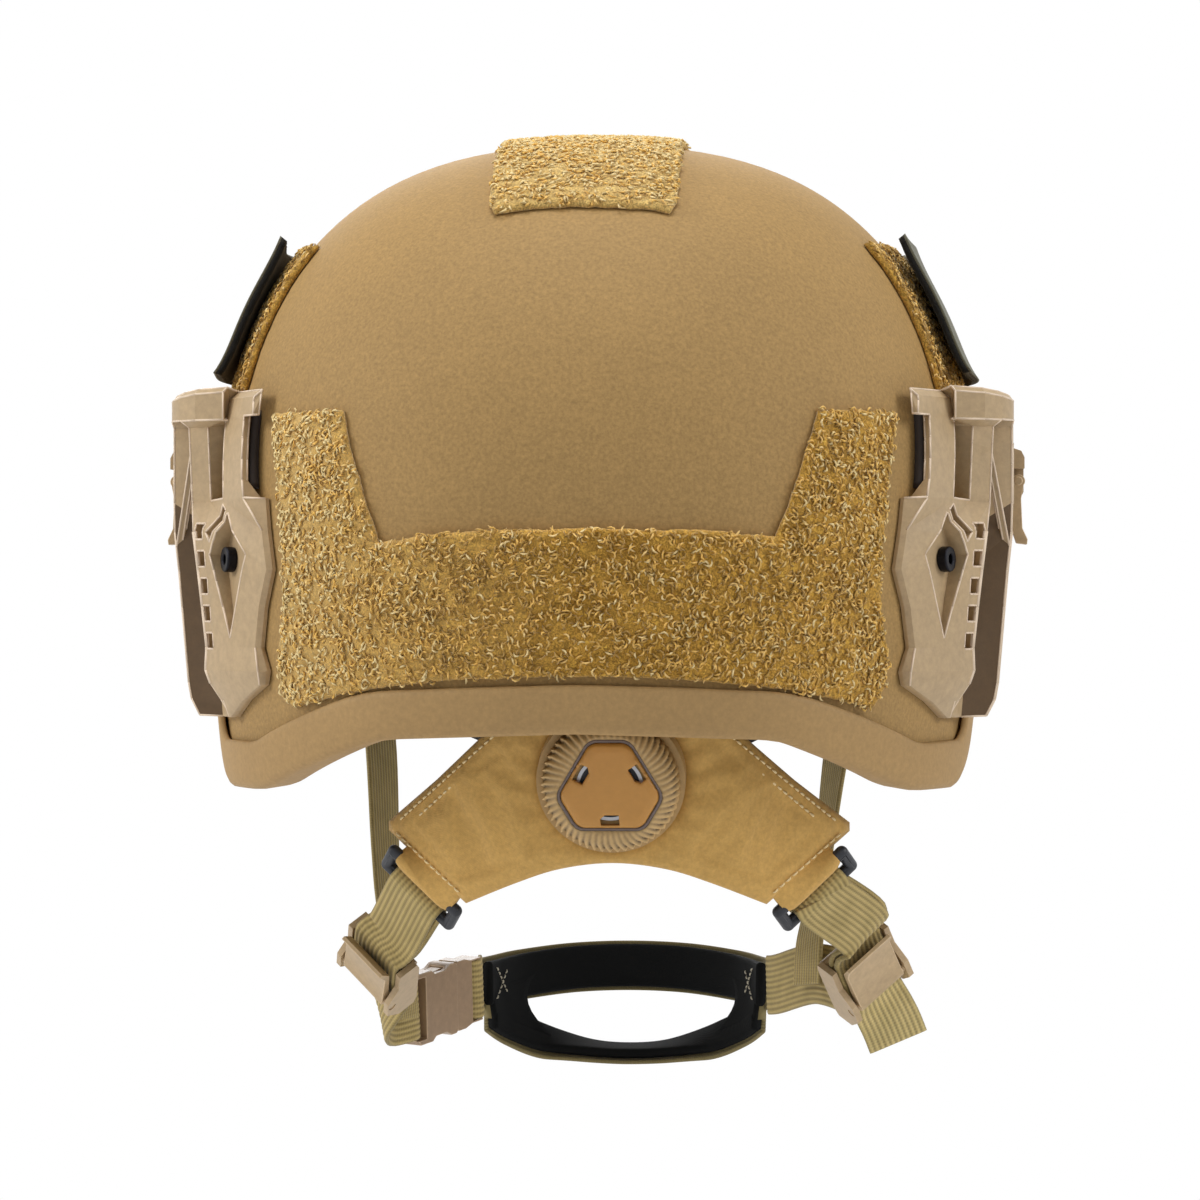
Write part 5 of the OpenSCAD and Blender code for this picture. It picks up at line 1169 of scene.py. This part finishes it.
def paint_channel_shade(rail):
    """Paint the shadow in the deep channel behind the ear, between ridge and lip, as a dark brown: painted
    shade.
    """
    rail.data.materials.append(CHANNEL_SHADE)
    for face in rail.data.polygons:
        x, y, z = (c / MM for c in face.center)
        low = -33.7 if abs(face.normal.x) < 0.6 else -21
        if 50.2 < y < 58.2 and low < z < 28 and abs(x) > 110.5 and face.normal.y > 0.2:
            # Faces of the channel take the painted shade.
            face.material_index = 2


def wear_and_highlight_beads(node, body, slot, look):
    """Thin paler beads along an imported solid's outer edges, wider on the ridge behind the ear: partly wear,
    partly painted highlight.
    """
    bm = welded(node)
    points, faces = [], []
    turn = (2 * math.pi * np.arange(6) / 6)[:, None]
    for edge in bm.edges:
        if len(edge.link_faces) != 2 or edge.calc_face_angle_signed() < math.radians(38):
            continue
        p, q = (np.array(v.co) / MM for v in edge.verts)
        size = np.linalg.norm(q - p)
        if size < 0.6 or level((p + q) / 2) < 0.028:
            continue
        out = unit(sum(np.array(f.normal) for f in edge.link_faces))
        # The ridge gets a wider bead, so a wider painted highlight.
        ridge = size > 3 and all(65.9 < c[1] < 66.8 and abs(c[0]) > 111 for c in (p, q))
        r = 0.34 * (2.5 if ridge else 1)
        ring = r * (np.cos(turn) * np.cross(unit(q - p), out) + np.sin(turn) * out) - 0.6 * r * out
        faces += tube_faces(2, 6, len(points))
        points += [*(p + ring), *(q + ring)]
    bm.free()
    settle(make(node + "_edges", points, faces, look), body, slot)


def rail_gap_shade_slabs():
    """Dark slabs between the rails' upright and the shell, which paint the shade in that gap: painted shade."""
    t, z = np.meshgrid(np.linspace(0, 1, 9), np.linspace(33, 56.5, 13))
    y = mix(72.2 - 0.38 * (z - 38), 82.6 - 0.32 * (z - 38), t)
    for word, s in SIDES:
        top, base = (at_side(y, z, h) * vec(s, 1, 1) for h in (3.0, 0.35))
        settle(slab(f"rail_gap_shade_{word}", top, base, GAP_SHADE), "helmet", "black_plastic")


def moulded():
    for word, _ in SIDES:
        paint_channel_shade(dress(f"rail_{word}", "helmet", TAN, "tan_plastic", 0.45, 25, TAN_EDGE_WEAR_AND_HIGHLIGHT))
        wear_and_highlight_beads(f"rail_{word}", "helmet", "tan_plastic", TAN_BEAD_WEAR_AND_HIGHLIGHT)
        for node, body in (("rail_slide", f"slide_{word}"), ("slide_latch", f"latch_{word}"),
                           ("adjuster_frame", "helmet"), ("adjuster_cam", f"cam_{word}")):
            dress(f"{node}_{word}", body, TAN, "tan_plastic", edge=TAN_EDGE_WEAR_AND_HIGHLIGHT)
        dress(f"nape_ring_{word}", "helmet", DARK, "black_plastic", 0)
        dress(f"harness_arm_{word}", "helmet", DARK, "black_plastic", 0.2)
    dress("front_bracket", "helmet", TAN, "tan_plastic", edge=TAN_EDGE_WEAR_AND_HIGHLIGHT)
    dress("rail_bolts", "helmet", OXIDE, "black_screws", 0.7)
    dress("dial_base", "helmet", DIAL, "dial_tan")
    dress("nape_plate", "helmet", DARK, "black_plastic")
    for node in ("buckle_socket", "buckle_plug"):
        dress(node, "helmet", BROWN, "buckle_brown", 0.5, edge=BROWN_EDGE_WEAR_AND_HIGHLIGHT)
    for body in ("prong_upper", "prong_lower"):
        dress(f"buckle_{body}", body, BROWN, "buckle_brown", 0.25)


# Camera, floor and light
def camera():
    cam = bpy.data.cameras.new("camera")
    cam.sensor_width, cam.lens = 36.0, 5120 / 1200 * 36.0
    cam.clip_start, cam.clip_end = 0.05, 50
    obj = shown("camera", cam)
    turn, away = math.radians(3.0), 1.6
    obj.location = (-away * math.sin(turn), away * math.cos(turn), 0)
    obj.rotation_euler = (math.radians(90), 0, math.radians(180) + turn)
    bpy.context.scene.camera = obj


def floor():
    """Pale under the object, where it keeps a shadow, and the backdrop's white further out."""
    look = Look("pale_floor", (232, 232, 232), 0.9)
    far = look.add("ShaderNodeVectorMath", Vector=look.where)
    far.operation = "LENGTH"
    share = look.add("ShaderNodeMapRange", Value=far.outputs["Value"], From_Min=0.25, From_Max=1.1, To_Min=0.62,
                     To_Max=1.0).outputs["Result"]
    seen = look.add("ShaderNodeLightPath").outputs["Is Camera Ray"]
    glow = look.add("ShaderNodeEmission", Color=(1, 1, 1, 1), Strength=1.0)
    join = look.add("ShaderNodeMixShader", Fac=look.math("MULTIPLY", share, seen))
    look.tree.links.new(look.bsdf.outputs[0], join.inputs[1])
    look.tree.links.new(glow.outputs[0], join.inputs[2])
    look.tree.links.new(join.outputs[0], look.tree.nodes["Material Output"].inputs["Surface"])
    half = 3000
    corners = [(-half, -half, 0), (half, -half, 0), (half, half, 0), (-half, half, 0)]
    ground = make("floor", corners, [(0, 1, 2, 3)], look.mat, False, closed=False)
    ground.location.z = -0.34


def backdrop():
    """White where it is seen, and softer where it lights the object."""
    world = bpy.data.worlds.new("studio")
    bpy.context.scene.world = world
    world.use_nodes = True
    nodes, links = world.node_tree.nodes, world.node_tree.links
    soft, white = nodes["Background"], nodes.new("ShaderNodeBackground")
    for node, strength in ((soft, 0.3), (white, 1.0)):
        node.inputs["Color"].default_value = (1, 1, 1, 1)
        node.inputs["Strength"].default_value = strength
    rays = nodes.new("ShaderNodeLightPath").outputs
    shows = rays["Is Camera Ray"]
    for ray in ("Is Glossy Ray", "Is Transmission Ray"):
        either = nodes.new("ShaderNodeMath")
        either.operation = "MAXIMUM"
        links.new(shows, either.inputs[0])
        links.new(rays[ray], either.inputs[1])
        shows = either.outputs[0]
    join = nodes.new("ShaderNodeMixShader")
    for source, socket in ((shows, join.inputs["Fac"]), (soft.outputs[0], join.inputs[1]),
                           (white.outputs[0], join.inputs[2]),
                           (join.outputs[0], nodes["World Output"].inputs["Surface"])):
        links.new(source, socket)


def lamp(name, place, size, power):
    data = bpy.data.lights.new(name, "AREA")
    data.shape, data.size, data.energy = "DISK", size, power
    light = shown(name, data)
    light.location = place
    light.rotation_euler = (-Vector(place)).to_track_quat("-Z", "Y").to_euler()


camera()
floor()
backdrop()
lamp("top", (0.1, 0.2, 1.9), 0.9, 22)
lamp("left", (1.75, 0.5, 0.9), 0.9, 20)
lamp("right", (-1.75, 0.5, 0.85), 0.9, 15)
lamp("front", (0.3, -1.8, 0.8), 1.2, 12)
bpy.context.scene.view_settings.view_transform = "Standard"

shell()
edge_trim()
loop_panels()
side_covers()
liners()
pads()
nape_pad()
knob()
dial_cap()
straps()
chin_cup()
moulded()
rail_gap_shade_slabs()

NODE_LOOKS = {
    "rail_bolts": OXIDE, "bracket_screws": OXIDE, "strap_anchors": OXIDE, "rail_nuts": STEEL,
    "dial_axle": STEEL, "bracket_insert": ANODISED, "dial_spool": DARK, "nape_plate": DARK,
    "harness_arm_left": DARK, "harness_arm_right": DARK,
}
for name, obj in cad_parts.items():
    if not obj.material_slots:
        obj.data.materials.append(TAN)
    for slot in obj.material_slots:
        slot.material = NODE_LOOKS.get(name, TAN)
